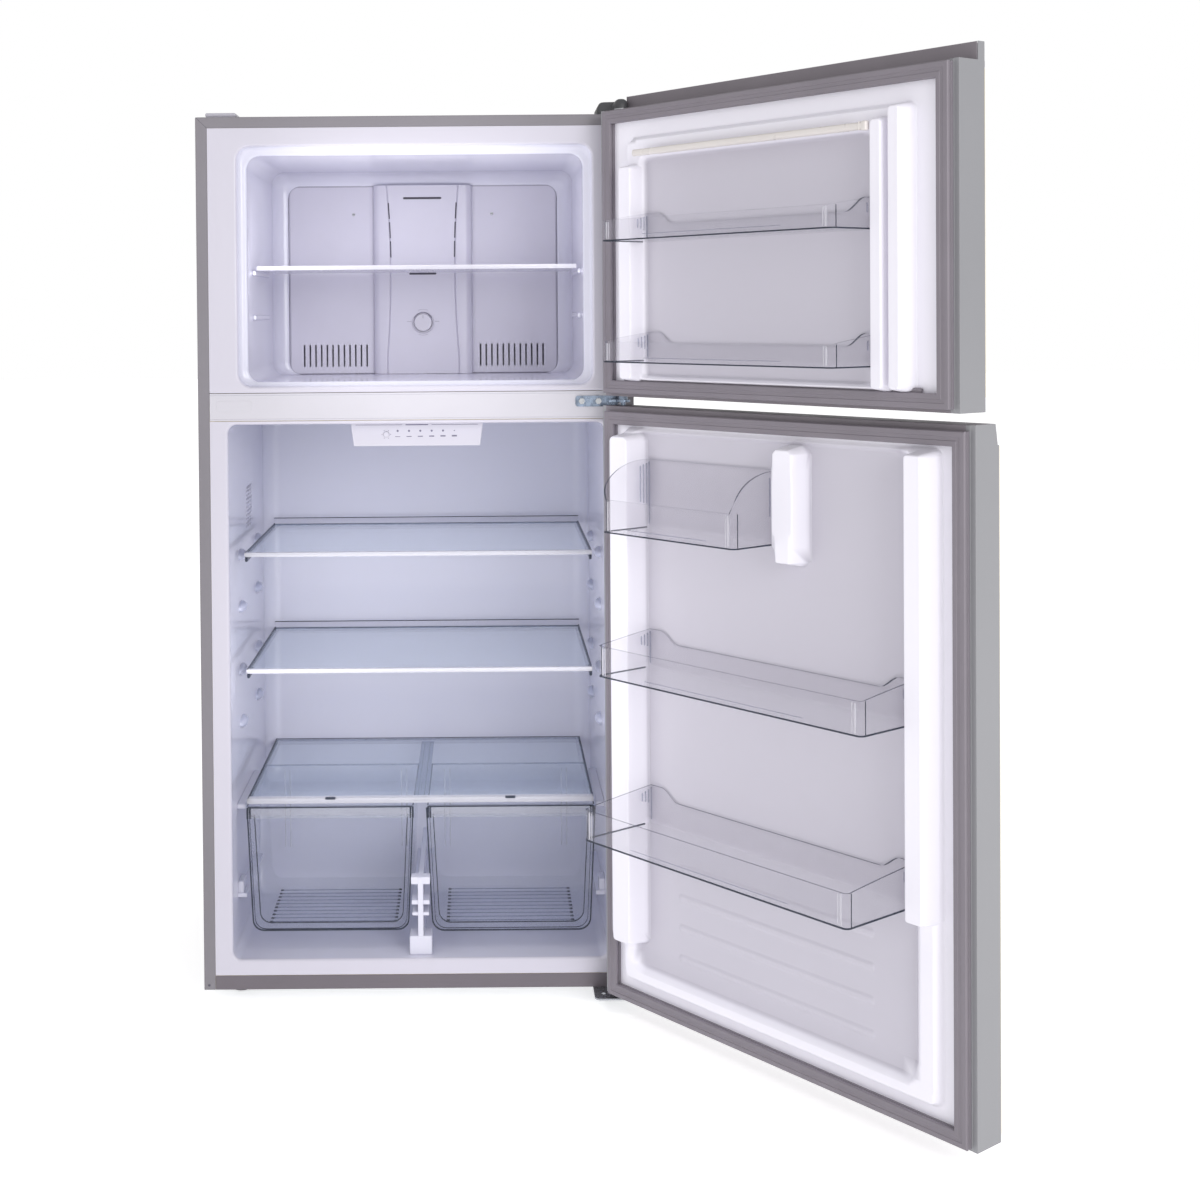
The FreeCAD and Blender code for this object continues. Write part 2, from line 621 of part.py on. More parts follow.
def drain_pan():
    """Melt water pan beside the compressor."""
    return open_tray(-300, 20, 460, 590, FEET_H + 2, 90, 2.0, 14)


# ---- doors ----
def door_box(z0, z1, inset=0.0, back=0.0):
    """A closed door's block with rounded front upright edges."""
    block = box(-HALF + inset, HALF - inset, DOOR_FRONT + inset, DOOR_BACK - back, z0, z1)
    return rounded(block, EDGE_ROUND - inset, Z, lambda p: p.y < DOOR_FRONT + inset + 1)


def door_skin(z0, z1):
    """Steel front bent round both sides, with narrow returns at the back."""
    outer = door_box(z0, z1)
    inner = box(-HALF + SHEET, HALF - SHEET, DOOR_FRONT + SHEET, DOOR_BACK - SHEET, z0 - 1, z1 + 1)
    inner = rounded(inner, EDGE_ROUND - SHEET, Z, lambda p: p.y < DOOR_FRONT + SHEET + 1)
    window = box(-HALF + 8, HALF - 8, DOOR_BACK - 5, DOOR_BACK + 1, z0 - 1, z1 + 1)
    return cut(outer, inner, window)


def door_gasket(z0, z1):
    """Magnetic gasket ring round the door's inner face."""
    ring = box(-370, 365, DOOR_BACK, -1.0, z0, z1)
    return ring.cut(box(-349, 343, DOOR_BACK - 1, 0, z0 + 22, z1 - 20))


def dike(x0, x1, z0, z1, top_y, grow=0.0):
    """Raised ridge of a door liner."""
    block = box(x0 + grow, x1 - grow, DOOR_BACK - 1, top_y - grow, z0 + grow, z1 - grow)
    r = 9 - grow
    rim = top_y - grow - 0.01
    edges = edges_along(block, Y) + edges_along(block, X, lambda p: p.y > rim)
    edges += edges_along(block, Z, lambda p: p.y > rim)
    return block.makeFillet(r, edges)


def liner_and_foam(z0, z1, dikes, cap_low, cap_high):
    """Door liner with raised dikes, and the foam that fills the door and the dikes."""
    sheet = box(-HALF + 8, HALF - 8, DOOR_BACK - PLASTIC, DOOR_BACK, z0, z1)
    raised = [dike(*d) for d in dikes]
    cores = [dike(*d, PLASTIC) for d in dikes]
    outer = join(sheet, *raised)
    hollow = [core.cut(box(-HALF, HALF, -100, DOOR_BACK - PLASTIC, z0, z1)) for core in cores]
    liner = cut(outer, box(-HALF, HALF, -100, DOOR_BACK - PLASTIC, z0 - 5, z1 + 5), *cores)
    block = box(-HALF + SHEET, HALF - SHEET, DOOR_FRONT + SHEET, DOOR_BACK - PLASTIC, cap_low, cap_high)
    block = rounded(block, EDGE_ROUND - SHEET, Z, lambda p: p.y < DOOR_FRONT + SHEET + 1)
    foam = join(block, *hollow)
    return liner, foam


def door_cap(z0, z1, bore_from, bore_to):
    """Plastic end cap between the skin's sides, with the hinge bore."""
    inset = SHEET
    cap = box(-HALF + inset, HALF - inset, DOOR_FRONT + inset, DOOR_BACK - PLASTIC, z0, z1)
    cap = rounded(cap, EDGE_ROUND - inset, Z, lambda p: p.y < DOOR_FRONT + inset + 1)
    return cap.cut(rod(PIN_BORE_R, (PIN_X, -PIN_OUT, bore_from), (PIN_X, -PIN_OUT, bore_to)))


def door_bin(x0, x1, reach, z0, z1, back_rise):
    """Clear bin hung between the dikes: low front, ends rising to the back."""
    back = DOOR_BACK + 1.0
    tray = rounded(box(x0, x1, back, reach, z0, z1 + back_rise), 10, Z, lambda p: p.y > reach - 1)
    inner = box(x0 + CLEAR_WALL, x1 - CLEAR_WALL, back + CLEAR_WALL, reach - CLEAR_WALL,
                z0 + CLEAR_WALL, z1 + back_rise + 1)
    inner = rounded(inner, 10 - CLEAR_WALL, Z, lambda p: p.y > reach - CLEAR_WALL - 1)
    slope = [(back + 30, z1 + back_rise + 1), (back + 55, z1), (reach + 1, z1), (reach + 1, z1 + back_rise + 1)]
    return cut(tray, inner, prism(slope, "X", x0 - 1, x1 + 1))


FREEZER_DIKE_Y = 18.0
FRIDGE_DIKE_Y = 30.0
FREEZER_DIKES = [(268, 303, 1096, 1484, FREEZER_DIKE_Y),
                 (-303, -246, 1096, 1484, FREEZER_DIKE_Y)]
FRIDGE_DIKES = [(270, 322, 150, 1008, FRIDGE_DIKE_Y),
                (-322, -282, 340, 1010, FRIDGE_DIKE_Y),
                (-84, -30, 820, 1010, FRIDGE_DIKE_Y - 6)]


def freezer_door_pieces():
    """All pieces of the freezer door, closed."""
    z0, z1 = FREEZER_DOOR_Z
    lip_back = DOOR_FRONT + LIP_THICK
    lip = box(-HALF, HALF - LIP_START, DOOR_FRONT, lip_back, z1, LIP_TOP)
    lip = rounded(lip, EDGE_ROUND, Z, lambda p: p.y < DOOR_FRONT + 1 and p.x < 0)
    core = box(-HALF + SHEET, HALF - LIP_START - SHEET, DOOR_FRONT + SHEET, lip_back + 1, z1 - 30, LIP_TOP + 1)
    core = rounded(core, EDGE_ROUND - SHEET, Z, lambda p: p.y < DOOR_FRONT + 2 and p.x < 0)
    skin = join(door_skin(z0, z1), cut(lip, core))
    top_cap = door_cap(z1 - CAP_H, z1, z1 - 9, z1 + 1)
    lip_fill = box(-HALF + SHEET, HALF - LIP_START - SHEET, DOOR_FRONT + SHEET, lip_back, z1 - 1, LIP_TOP)
    lip_fill = rounded(lip_fill, EDGE_ROUND - SHEET, Z, lambda p: p.y < DOOR_FRONT + 2 and p.x < 0)
    top_cap = join(top_cap, lip_fill)
    bottom_cap = door_cap(z0, z0 + 2 * CAP_H, z0 - 1, z0 + 9)
    grip = box(-340, 240, DOOR_FRONT + 12, DOOR_BACK - 8, z0 - 1, z0 + 16)
    notch = box(-340, 240, DOOR_BACK - 9, DOOR_BACK + 1, z0 - 1, z0 + 6)
    bottom_cap = cut(bottom_cap, grip, notch)
    liner, foam = liner_and_foam(z0, z1, FREEZER_DIKES, z0 + 2 * CAP_H, z1 - CAP_H)
    liner = cut(liner, notch)
    bar = rounded(box(-238, 260, 12, 22, 1467, 1479), 4, X)
    clip = box(-244, -238, 13, 21, 1466, 1478)
    stem = box(-200, 222, DOOR_BACK, 12, 1469, 1475)
    return {
        "freezer_door_skin": skin,
        "freezer_door_top_cap": top_cap,
        "freezer_door_bottom_cap": bottom_cap,
        "freezer_door_foam": foam,
        "freezer_door_liner": liner,
        "freezer_door_gasket": door_gasket(z0 + 6, z1 - 4),
        "freezer_door_bar": join(bar, clip, stem),
        "freezer_bin_upper": door_bin(-240, 262, 88, 1326, 1360, 14),
        "freezer_bin_lower": door_bin(-240, 262, 88, 1129, 1163, 14),
    }


def scoop(z1):
    """The wedge taken off the front of the fridge door's top edge."""
    points = [(DOOR_FRONT + 12.3, z1 + 1), (DOOR_FRONT + 7.3, SCOOP_Z), (DOOR_FRONT - 1, SCOOP_Z),
              (DOOR_FRONT - 1, z1 + 1)]
    return prism(points, "X", -HALF - 1, HALF + 1)


def fridge_door_pieces():
    """All pieces of the fridge door, closed."""
    z0, z1 = FRIDGE_DOOR_Z
    grip = scoop(z1)
    skin = door_skin(z0, z1).cut(grip)
    cap_low = SCOOP_Z - 6
    top_cap = door_cap(cap_low, z1, z1 - 9, z1 + 1).cut(grip)
    bottom_cap = door_cap(z0, z0 + CAP_H, z0 - 1, z0 + 9)
    liner, foam = liner_and_foam(z0, z1, FRIDGE_DIKES, z0 + CAP_H, cap_low)
    return {
        "fridge_door_skin": skin,
        "fridge_door_top_cap": top_cap,
        "fridge_door_bottom_cap": bottom_cap,
        "fridge_door_foam": foam,
        "fridge_door_liner": liner,
        "fridge_door_gasket": door_gasket(z0 + 4, z1 - 9.5),
        "dairy_bin": door_bin(-26, 266, 95, 851, 925, 40),
        "door_bin_middle": door_bin(-278, 266, 108, 617, 667, 14),
        "door_bin_lower": door_bin(-278, 266, 140, 355, 405, 14),
    }


save(cabinet_shell(), "cabinet_shell")
save(base_rail(), "base_rail")
save(box(-HALF, HALF, DEPTH - SHEET, DEPTH, MACHINE_TOP - PLASTIC, CABINET_TOP), "back_panel")
save(base_plate(), "base_plate")
save(compressor_tray(), "compressor_tray")
save(cabinet_foam(), "cabinet_foam")
save(freezer_liner(), "freezer_liner")
save(fridge_liner(), "fridge_liner")
save(divider_rail(), "divider_rail")
save(rail_plug(), "rail_plug")
save(hinge_hole_cap(), "hinge_hole_cap")
save(evaporator_cover(), "evaporator_cover")
save(air_duct_cover(), "air_duct_cover")
save(evaporator_coil(), "evaporator_coil")
save(fan_motor(), "fan_motor")
save(evaporator_fan(), "evaporator_fan")
save(airflow_knob(), "airflow_knob")
save(freezer_shelf(), "freezer_shelf")
save(control_housing(), "control_housing")
save(control_button(), "control_button")
save(light_lens(), "light_lens")
save(shelf_glass(*UPPER_SHELF), "upper_shelf_glass")
save(shelf_trim(*UPPER_SHELF), "upper_shelf_trim")
save(shelf_glass(*LOWER_SHELF), "lower_shelf_glass")
save(shelf_trim(*LOWER_SHELF), "lower_shelf_trim")
save(crisper_cover_glass(), "crisper_cover_glass")
save(crisper_cover_frame(), "crisper_cover_frame")
save(crisper_guide(), "crisper_guide")
save(crisper_drawer(-1), "left_crisper")
save(crisper_drawer(1), "right_crisper")
save(top_hinge(), "top_hinge")
save(top_hinge_cover(), "top_hinge_cover")
save(middle_hinge(), "middle_hinge")
save(bottom_hinge(), "bottom_hinge")
save(hinge_screws(), "hinge_screws")
save(compressor(), "compressor")
save(compressor_grommets(), "compressor_grommets")
save(drain_pan(), "drain_pan")
for name, side in (("left", -1), ("right", 1)):
    save(roller(side), name + "_roller")
    save(foot(side), name + "_foot")
for name, piece in freezer_door_pieces().items():
    save(opened(piece, FREEZER_OPEN), name)
for name, piece in fridge_door_pieces().items():
    save(opened(piece, FRIDGE_OPEN), name)
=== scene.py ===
import math

import bmesh
import bpy
from mathutils import Matrix, Vector


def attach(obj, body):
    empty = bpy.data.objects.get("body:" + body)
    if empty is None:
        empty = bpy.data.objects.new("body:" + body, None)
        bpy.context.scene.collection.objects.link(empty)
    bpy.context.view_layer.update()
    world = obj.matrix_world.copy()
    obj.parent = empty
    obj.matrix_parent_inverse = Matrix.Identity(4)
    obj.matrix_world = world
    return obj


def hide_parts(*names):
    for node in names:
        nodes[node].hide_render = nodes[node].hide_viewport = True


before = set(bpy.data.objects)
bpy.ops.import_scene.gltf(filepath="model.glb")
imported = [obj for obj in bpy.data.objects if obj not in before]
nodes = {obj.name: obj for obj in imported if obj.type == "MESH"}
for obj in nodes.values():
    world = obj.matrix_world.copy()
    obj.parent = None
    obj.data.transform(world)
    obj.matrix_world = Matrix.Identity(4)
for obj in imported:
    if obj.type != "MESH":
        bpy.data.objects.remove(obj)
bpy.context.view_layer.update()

MM = 0.001
scene = bpy.context.scene

# ---- sizes that the pieces share, in millimetres ----
HALF = 380.0
TOP = 1555.0
DOOR_BACK = -13.5
DOOR_FRONT = -72.3
PIN = Vector((358.0, -40.0, 0.0))
FREEZER_TURN = 126.0
FRIDGE_TURN = 128.5
GLASS_BACK = 488.0
FLANGE = 359.6
FREEZER_HALF, FREEZER_LOW, FREEZER_HIGH = 294.5, 1091.5, 1489
RIM_HALF, RIM_LOW, RIM_HIGH = 309.5, 1085, 1504
FRIDGE_HALF, FRIDGE_LOW, FRIDGE_HIGH = 328.5, 80.5, 1019
UPPER_SHELF, LOWER_SHELF = 788.0, 578.0


def door_matrix(angle):
    """Turns a closed door's piece about the hinge pin to the open rest position."""
    return Matrix.Translation(PIN) @ Matrix.Rotation(math.radians(angle), 4, "Z") @ Matrix.Translation(-PIN)


TURNS = dict.fromkeys(("freezer_door", "upper_freezer_bin", "lower_freezer_bin"), door_matrix(FREEZER_TURN))
TURNS.update(dict.fromkeys(("fridge_door", "middle_door_bin", "lower_door_bin", "dairy_compartment"),
                           door_matrix(FRIDGE_TURN)))


# ---- materials ----
def node_material(name):
    mat = bpy.data.materials.new(name)
    mat.use_nodes = True
    tree = mat.node_tree
    tree.nodes.clear()
    out = tree.nodes.new("ShaderNodeOutputMaterial")
    return mat, tree, out


def link(tree, source, output, target, socket):
    tree.links.new(source.outputs[output], target.inputs[socket])


def shade(rgb, k):
    return (min(rgb[0] * k, 1), min(rgb[1] * k, 1), min(rgb[2] * k, 1), 1)


def noise(tree, scale, detail=4.0, stretch=(1, 1, 1)):
    coord = tree.nodes.new("ShaderNodeTexCoord")
    mapping = tree.nodes.new("ShaderNodeMapping")
    mapping.inputs["Scale"].default_value = stretch
    link(tree, coord, "Object", mapping, "Vector")
    tex = tree.nodes.new("ShaderNodeTexNoise")
    tex.inputs["Scale"].default_value = scale
    tex.inputs["Detail"].default_value = detail
    link(tree, mapping, "Vector", tex, "Vector")
    return tex


def ramp(tree, source, low, high, a, b):
    node = tree.nodes.new("ShaderNodeValToRGB")
    node.color_ramp.elements[0].position = low
    node.color_ramp.elements[1].position = high
    node.color_ramp.elements[0].color = a
    node.color_ramp.elements[1].color = b
    tree.links.new(source, node.inputs["Fac"])
    return node


BUMP_DEPTH = 0.0004
DRIFT_LOW, DRIFT_HIGH = 0.3, 0.7


def solid(name, rgb, rough, mottle=0.04, mottle_scale=6, grain=900, bump=0.03, metallic=0.0,
          stretch=(1, 1, 1), rough_var=0.06):
    """Opaque finish: slow colour drift, roughness variation and a fine bump."""
    mat, tree, out = node_material(name)
    bsdf = tree.nodes.new("ShaderNodeBsdfPrincipled")
    drift = noise(tree, mottle_scale, 3)
    colour = ramp(tree, drift.outputs["Fac"], DRIFT_LOW, DRIFT_HIGH,
                  shade(rgb, 1 - mottle), shade(rgb, 1 + mottle))
    link(tree, colour, "Color", bsdf, "Base Color")
    fine = noise(tree, grain, 3, stretch)
    lo, hi = max(rough - rough_var, 0.02), min(rough + rough_var, 1)
    wear = noise(tree, mottle_scale * 2.5, 1)
    r = ramp(tree, wear.outputs["Fac"], DRIFT_LOW, DRIFT_HIGH, (lo, lo, lo, 1), (hi, hi, hi, 1))
    link(tree, r, "Color", bsdf, "Roughness")
    b = tree.nodes.new("ShaderNodeBump")
    b.inputs["Strength"].default_value = bump
    b.inputs["Distance"].default_value = BUMP_DEPTH
    link(tree, fine, "Fac", b, "Height")
    link(tree, b, "Normal", bsdf, "Normal")
    bsdf.inputs["Metallic"].default_value = metallic
    link(tree, bsdf, "BSDF", out, "Surface")
    return mat


def clear(name, tint, haze, haze_rgb, rough=0.06, rim=0.5):
    """Thin clear plastic or glass: light passes through, with gloss and denser grazing edges."""
    mat, tree, out = node_material(name)
    through = tree.nodes.new("ShaderNodeBsdfTransparent")
    through.inputs["Color"].default_value = (*tint, 1)
    body = tree.nodes.new("ShaderNodeBsdfPrincipled")
    body.inputs["Base Color"].default_value = (*haze_rgb, 1)
    fine = noise(tree, 300, 2)
    r = ramp(tree, fine.outputs["Fac"], DRIFT_LOW, DRIFT_HIGH,
             (rough * 0.6,) * 3 + (1,), (rough * 1.5,) * 3 + (1,))
    link(tree, r, "Color", body, "Roughness")
    weight = tree.nodes.new("ShaderNodeLayerWeight")
    weight.inputs["Blend"].default_value = 0.25
    amount = tree.nodes.new("ShaderNodeMapRange")
    amount.inputs["To Min"].default_value = haze
    amount.inputs["To Max"].default_value = min(haze + rim, 1)
    link(tree, weight, "Facing", amount, "Value")
    mix = tree.nodes.new("ShaderNodeMixShader")
    link(tree, amount, "Result", mix, "Fac")
    link(tree, through, "BSDF", mix, 1)
    link(tree, body, "BSDF", mix, 2)
    link(tree, mix, "Shader", out, "Surface")
    return mat


M = {
    "frame": solid("cabinet_paint", (0.203, 0.190, 0.212), 0.42, 0.05, 3, 1400, 0.08),
    "rail": solid("rail_paint", (0.137, 0.119, 0.137), 0.42, 0.05, 3, 1400, 0.08),
    "skin": solid("door_steel_paint", (0.275, 0.275, 0.292), 0.36, 0.03, 2, 700, 0.04, 0.2, (60, 60, 1)),
    "cap": solid("door_cap_plastic", (0.20, 0.178, 0.20), 0.5, 0.05, 8, 1500, 0.1),
    "dark": solid("dark_plastic", (0.055, 0.055, 0.06), 0.45, 0.06, 12, 1200, 0.1),
    "gasket": solid("gasket_vinyl", (0.200, 0.180, 0.206), 0.55, 0.04, 10, 1100, 0.05),
    "liner": solid("liner_gloss", (0.555, 0.535, 0.61), 0.24, 0.012, 2.5, 260, 0.01, rough_var=0.0),
    "liner_in": solid("liner_inside", (0.62, 0.615, 0.71), 0.13, 0.015, 2.5, 260, 0.008, rough_var=0.0),
    # The door liners' ridges keep this colour; their recessed pan is darkened below it as painted shade.
    "door_liner": solid("door_liner_gloss", (0.81, 0.79, 0.86), 0.38, 0.012, 2.5, 260, 0.01, rough_var=0.0),
    # Side-wall support colour: the liner darkened as painted shade for the supports' shaded undersides.
    "lug": solid("lug_painted_shade", (0.47, 0.48, 0.60), 0.3, 0.02, 8, 400, 0.01, rough_var=0.0),
    "white": solid("white_moulding", (0.555, 0.54, 0.61), 0.3, 0.015, 8, 500, 0.01, rough_var=0.0),
    "panel": solid("freezer_panel", (0.57, 0.555, 0.64), 0.3, 0.02, 8, 500, 0.01, rough_var=0.0),
    "rail_white": solid("rail_white", (0.54, 0.525, 0.575), 0.3, 0.015, 8, 500, 0.01, rough_var=0.0),
    "cream": solid("cream_moulding", (0.66, 0.62, 0.60), 0.33, 0.03, 12, 500, 0.02),
    "shadow": solid("groove_shadow", (0.09, 0.085, 0.11), 0.7, 0.05, 12, 800, 0.05),
    "soft_line": solid("soft_line", (0.36, 0.35, 0.42), 0.6, 0.05, 12, 800, 0.05),
    # Ink: print on the control panel, and painted shadow along the knob's upper rim.
    "ink": solid("print_ink_and_painted_shadow", (0.16, 0.15, 0.22), 0.6, 0.05, 12, 800, 0.05),
    "zinc": solid("blue_zinc", (0.22, 0.265, 0.34), 0.25, 0.35, 60, 900, 0.08, 0.85, rough_var=0.12),
    "steel": solid("galvanised", (0.45, 0.46, 0.48), 0.36, 0.1, 30, 600, 0.06, 0.8, rough_var=0.12),
    "hinge": solid("hinge_zinc", (0.34, 0.35, 0.37), 0.25, 0.12, 30, 900, 0.05, 0.85),
    "black": solid("black_enamel", (0.012, 0.012, 0.013), 0.3, 0.1, 12, 900, 0.05),
    "rubber": solid("black_rubber", (0.02, 0.02, 0.02), 0.7, 0.1, 20, 1500, 0.1),
    "foam": solid("cabinet_foam", (0.75, 0.66, 0.45), 0.9, 0.08, 40, 800, 0.3),
    "aluminium": solid("coil_aluminium", (0.72, 0.73, 0.75), 0.3, 0.05, 60, 900, 0.06, 0.95),
    "clear": clear("clear_plastic", (0.982, 0.98, 0.984), 0.02, (0.50, 0.50, 0.55), 0.07, 0.2),
    "drawer": clear("drawer_plastic", (0.975, 0.978, 0.985), 0.02, (0.55, 0.57, 0.65), 0.07, 0.2),
    "haze": clear("ribbed_clear", (0.95, 0.95, 0.95), 0.14, (0.60, 0.60, 0.62), 0.2, 0.2),
    "clear_rim": clear("clear_rim", (0.34, 0.36, 0.42), 0.45, (0.05, 0.06, 0.085), 0.15, 0.3),
    "clear_dark": clear("clear_groove", (0.80, 0.82, 0.88), 0.2, (0.22, 0.24, 0.32), 0.15, 0.3),
    "clear_dim": clear("clear_dim", (0.86, 0.87, 0.90), 0.12, (0.36, 0.38, 0.46), 0.12, 0.2),
    # Milky plastic for the freezer rack and shelf beads, and painted highlight for the glint strips on the
    # door bins.
    "milky_and_glint": clear("milky_plastic_and_glint", (0.97, 0.97, 0.98), 0.45, (0.72, 0.71, 0.76), 0.2, 0.3),
    "glass": clear("shelf_glass", (0.965, 0.98, 0.99), 0.05, (0.58, 0.66, 0.76), 0.04, 0.2),
    "glass_edge": clear("glass_edge", (0.62, 0.68, 0.75), 0.4, (0.20, 0.24, 0.32), 0.12, 0.3),
    "lens": clear("lamp_lens", (0.95, 0.95, 0.93), 0.6, (0.85, 0.85, 0.83), 0.25, 0.2),
}


# ---- mesh helpers, all in millimetres ----
# Slot names by material; piece() looks one up from a piece's first material but does not use it.
SLOTS = {
    "frame": "cabinet_paint", "rail": "cabinet_paint", "liner": "liner_white", "liner_in": "liner_white",
    "door_liner": "liner_white", "white": "white_plastic", "panel": "white_plastic", "milky_and_glint": "white_plastic",
    "rail_white": "white_plastic", "dark": "dark_plastic", "cap": "dark_plastic", "lens": "lens_white",
    "glass": "shelf_glass", "clear": "clear_plastic", "drawer": "clear_plastic",
    "clear_rim": "clear_plastic", "cream": "cream_plastic", "gasket": "gasket_grey", "foam": "insulation",
}


def pair(side, a, b, start=0):
    """Two x values to one side of start, in rising order."""
    return sorted((start + side * a, start + side * b))


def outward(bm, faces=None, mat=None):
    """Turn normals outwards, and give the faces a material slot."""
    faces = bm.faces if faces is None else faces
    bmesh.ops.recalc_face_normals(bm, faces=faces)
    if mat is not None:
        for f in faces:
            f.material_index = mat


def face_forward(bm, beyond):
    """Turn an open liner so that what lies beyond a depth faces the front."""
    outward(bm)
    if sum(f.normal.y for f in bm.faces if f.calc_center_median().y > beyond) > 0:
        bmesh.ops.reverse_faces(bm, faces=bm.faces)


def turn_points(degrees):
    return [math.radians(d) for d in degrees]


def soften(bm, edges, r, seg, mat):
    bmesh.ops.bevel(bm, geom=edges, offset=r, segments=seg, profile=0.5, affect="EDGES", material=mat)


def block(bm, x0, x1, y0, y1, z0, z1, r=1.0, seg=2, mat=0):
    """Box with every edge rounded."""
    size = Vector((x1 - x0, y1 - y0, z1 - z0))
    middle = Vector((x0 + x1, y0 + y1, z0 + z1)) / 2
    spot = Matrix.Translation(middle) @ Matrix.Diagonal((*size, 1))
    made = bmesh.ops.create_cube(bm, size=1.0, matrix=spot)
    r = min(r, min(size) * 0.49)
    faces = list({f for v in made["verts"] for f in v.link_faces})
    for f in faces:
        f.material_index = mat
    if r > 0:
        edges = list({e for v in made["verts"] for e in v.link_edges})
        soften(bm, edges, r, seg, mat)


def prism(bm, points, axis, a, b, mat=0, r=0.0, seg=2):
    """Polygon drawn across an axis, pushed from a to b, with its edges rounded."""
    order = {"X": lambda p, t: (t, p[0], p[1]), "Y": lambda p, t: (p[0], t, p[1]),
             "Z": lambda p, t: (p[0], p[1], t)}[axis]
    low = [bm.verts.new(order(p, a)) for p in points]
    high = [bm.verts.new(order(p, b)) for p in points]
    faces = [bm.faces.new(low), bm.faces.new(high[::-1])]
    n = len(points)
    for i in range(n):
        faces.append(bm.faces.new((low[i], high[i], high[(i + 1) % n], low[(i + 1) % n])))
    outward(bm, faces, mat)
    if r > 0:
        edges = {e for f in faces for e in f.edges}
        soften(bm, list(edges), r, seg, mat)


def lathe(bm, start, end, profile, seg=40, mat=0):
    """Round solid along an axis; profile is (distance along, radius)."""
    start, end = Vector(start), Vector(end)
    way = (end - start).normalized()
    side = way.orthogonal().normalized()
    other = way.cross(side)
    rings = []
    for t, r in profile:
        ring = []
        for k in range(seg):
            a = 2 * math.pi * k / seg
            spoke = side * math.cos(a) + other * math.sin(a)
            ring.append(bm.verts.new(start + way * t + spoke * max(r, 0.001)))
        rings.append(ring)
    faces = [bm.faces.new(rings[0]), bm.faces.new(rings[-1][::-1])]
    for a, b in zip(rings, rings[1:]):
        for k in range(seg):
            faces.append(bm.faces.new((a[k], b[k], b[(k + 1) % seg], a[(k + 1) % seg])))
    outward(bm, faces, mat)


def rod(bm, start, end, radius, mat=0, seg=32, bevel=0.4):
    """Cylinder with softened ends."""
    length = (Vector(end) - Vector(start)).length
    b = min(bevel, radius * 0.4, length * 0.3)
    profile = [(0, radius - b), (b, radius), (length - b, radius), (length, radius - b)]
    lathe(bm, start, end, profile, seg, mat)


def ring_loft(bm, rings, mats, close_first=False):
    """Skin over equal rings of points, closed at the last; mats gives each band's slot."""
    rows = [[bm.verts.new(p) for p in ring] for ring in rings]
    for i, (a, b) in enumerate(zip(rows, rows[1:])):
        n = len(a)
        for k in range(n):
            f = bm.faces.new((a[k], a[(k + 1) % n], b[(k + 1) % n], b[k]))
            f.material_index = mats[min(i, len(mats) - 1)]
    bm.faces.new(rows[-1]).material_index = mats[-1]
    if close_first:
        bm.faces.new(rows[0][::-1]).material_index = mats[0]
    bmesh.ops.remove_doubles(bm, verts=[v for row in rows for v in row], dist=0.0005)


def rect_ring(half_l, half_r, z0, z1, radius, y, seg=7):
    """Rounded rectangle in the plane y, from x = -half_l to half_r."""
    points = []
    for cx, cz, a0 in ((half_r - radius, z1 - radius, 0), (-half_l + radius, z1 - radius, 90),
                       (-half_l + radius, z0 + radius, 180), (half_r - radius, z0 + radius, 270)):
        for k in range(seg + 1):
            a = math.radians(a0 + 90 * k / seg)
            points.append(Vector((cx + radius * math.cos(a), y, cz + radius * math.sin(a))))
    return points


def sweep(bm, path, profile, closed=True, mat=0, up=Vector((0, 1, 0))):
    """Closed profile (across, out) carried along a path; out is along up."""
    n = len(path)
    rows = []
    for i, p in enumerate(path):
        before = path[i - 1] if (closed or i > 0) else p
        after = path[(i + 1) % n] if (closed or i < n - 1) else p
        t1 = (p - before).normalized() if (p - before).length > 1e-6 else (after - p).normalized()
        t2 = (after - p).normalized() if (after - p).length > 1e-6 else t1
        way = (t1 + t2).normalized()
        side = way.cross(up).normalized()
        k = 1 / max(math.sqrt(max((1 + t1.dot(t2)) / 2, 0.05)), 0.3)
        rows.append([bm.verts.new(p + side * a * k + up * b) for a, b in profile])
    faces = []
    m = len(profile)
    for i in range(n if closed else n - 1):
        a, b = rows[i], rows[(i + 1) % n]
        for j in range(m):
            faces.append(bm.faces.new((a[j], a[(j + 1) % m], b[(j + 1) % m], b[j])))
    if not closed:
        faces.append(bm.faces.new(rows[0][::-1]))
        faces.append(bm.faces.new(rows[-1]))
    outward(bm, faces, mat)


def mesh_of(bm, name):
    data = bpy.data.meshes.new(name)
    bm.to_mesh(data)
    bm.free()
    return data


def place(name, data):
    obj = bpy.data.objects.new(name, data)
    scene.collection.objects.link(obj)
    return obj


def piece(name, build, mats, body, *replaces, slot=None, angle=35, solidify=0.0):
    """Makes an object from a mesh-building function and hands it to a body."""
    bm = bmesh.new()
    build(bm)
    if body in TURNS:
        bmesh.ops.transform(bm, matrix=TURNS[body], verts=bm.verts)
    bmesh.ops.scale(bm, vec=(MM, MM, MM), verts=bm.verts)
    data = mesh_of(bm, name)
    for m in mats:
        data.materials.append(M[m])
    data.shade_smooth()
    data.set_sharp_from_angle(angle=math.radians(angle))
    obj = place(name, data)
    if solidify:
        mod = obj.modifiers.new("wall", "SOLIDIFY")
        mod.thickness = solidify * MM
        mod.offset = -1.0
        mod.use_quality_normals = True
    weighted = obj.modifiers.new("normals", "WEIGHTED_NORMAL")
    weighted.keep_sharp = True
    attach(obj, body)
    if replaces:
        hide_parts(*replaces)
    slot = slot or SLOTS.get(mats[0])
    return obj


def paint(node, *mats):
    """Gives a carried-over CAD node its finish."""
    data = nodes[node].data
    data.materials.clear()
    for m in mats:
        data.materials.append(M[m])


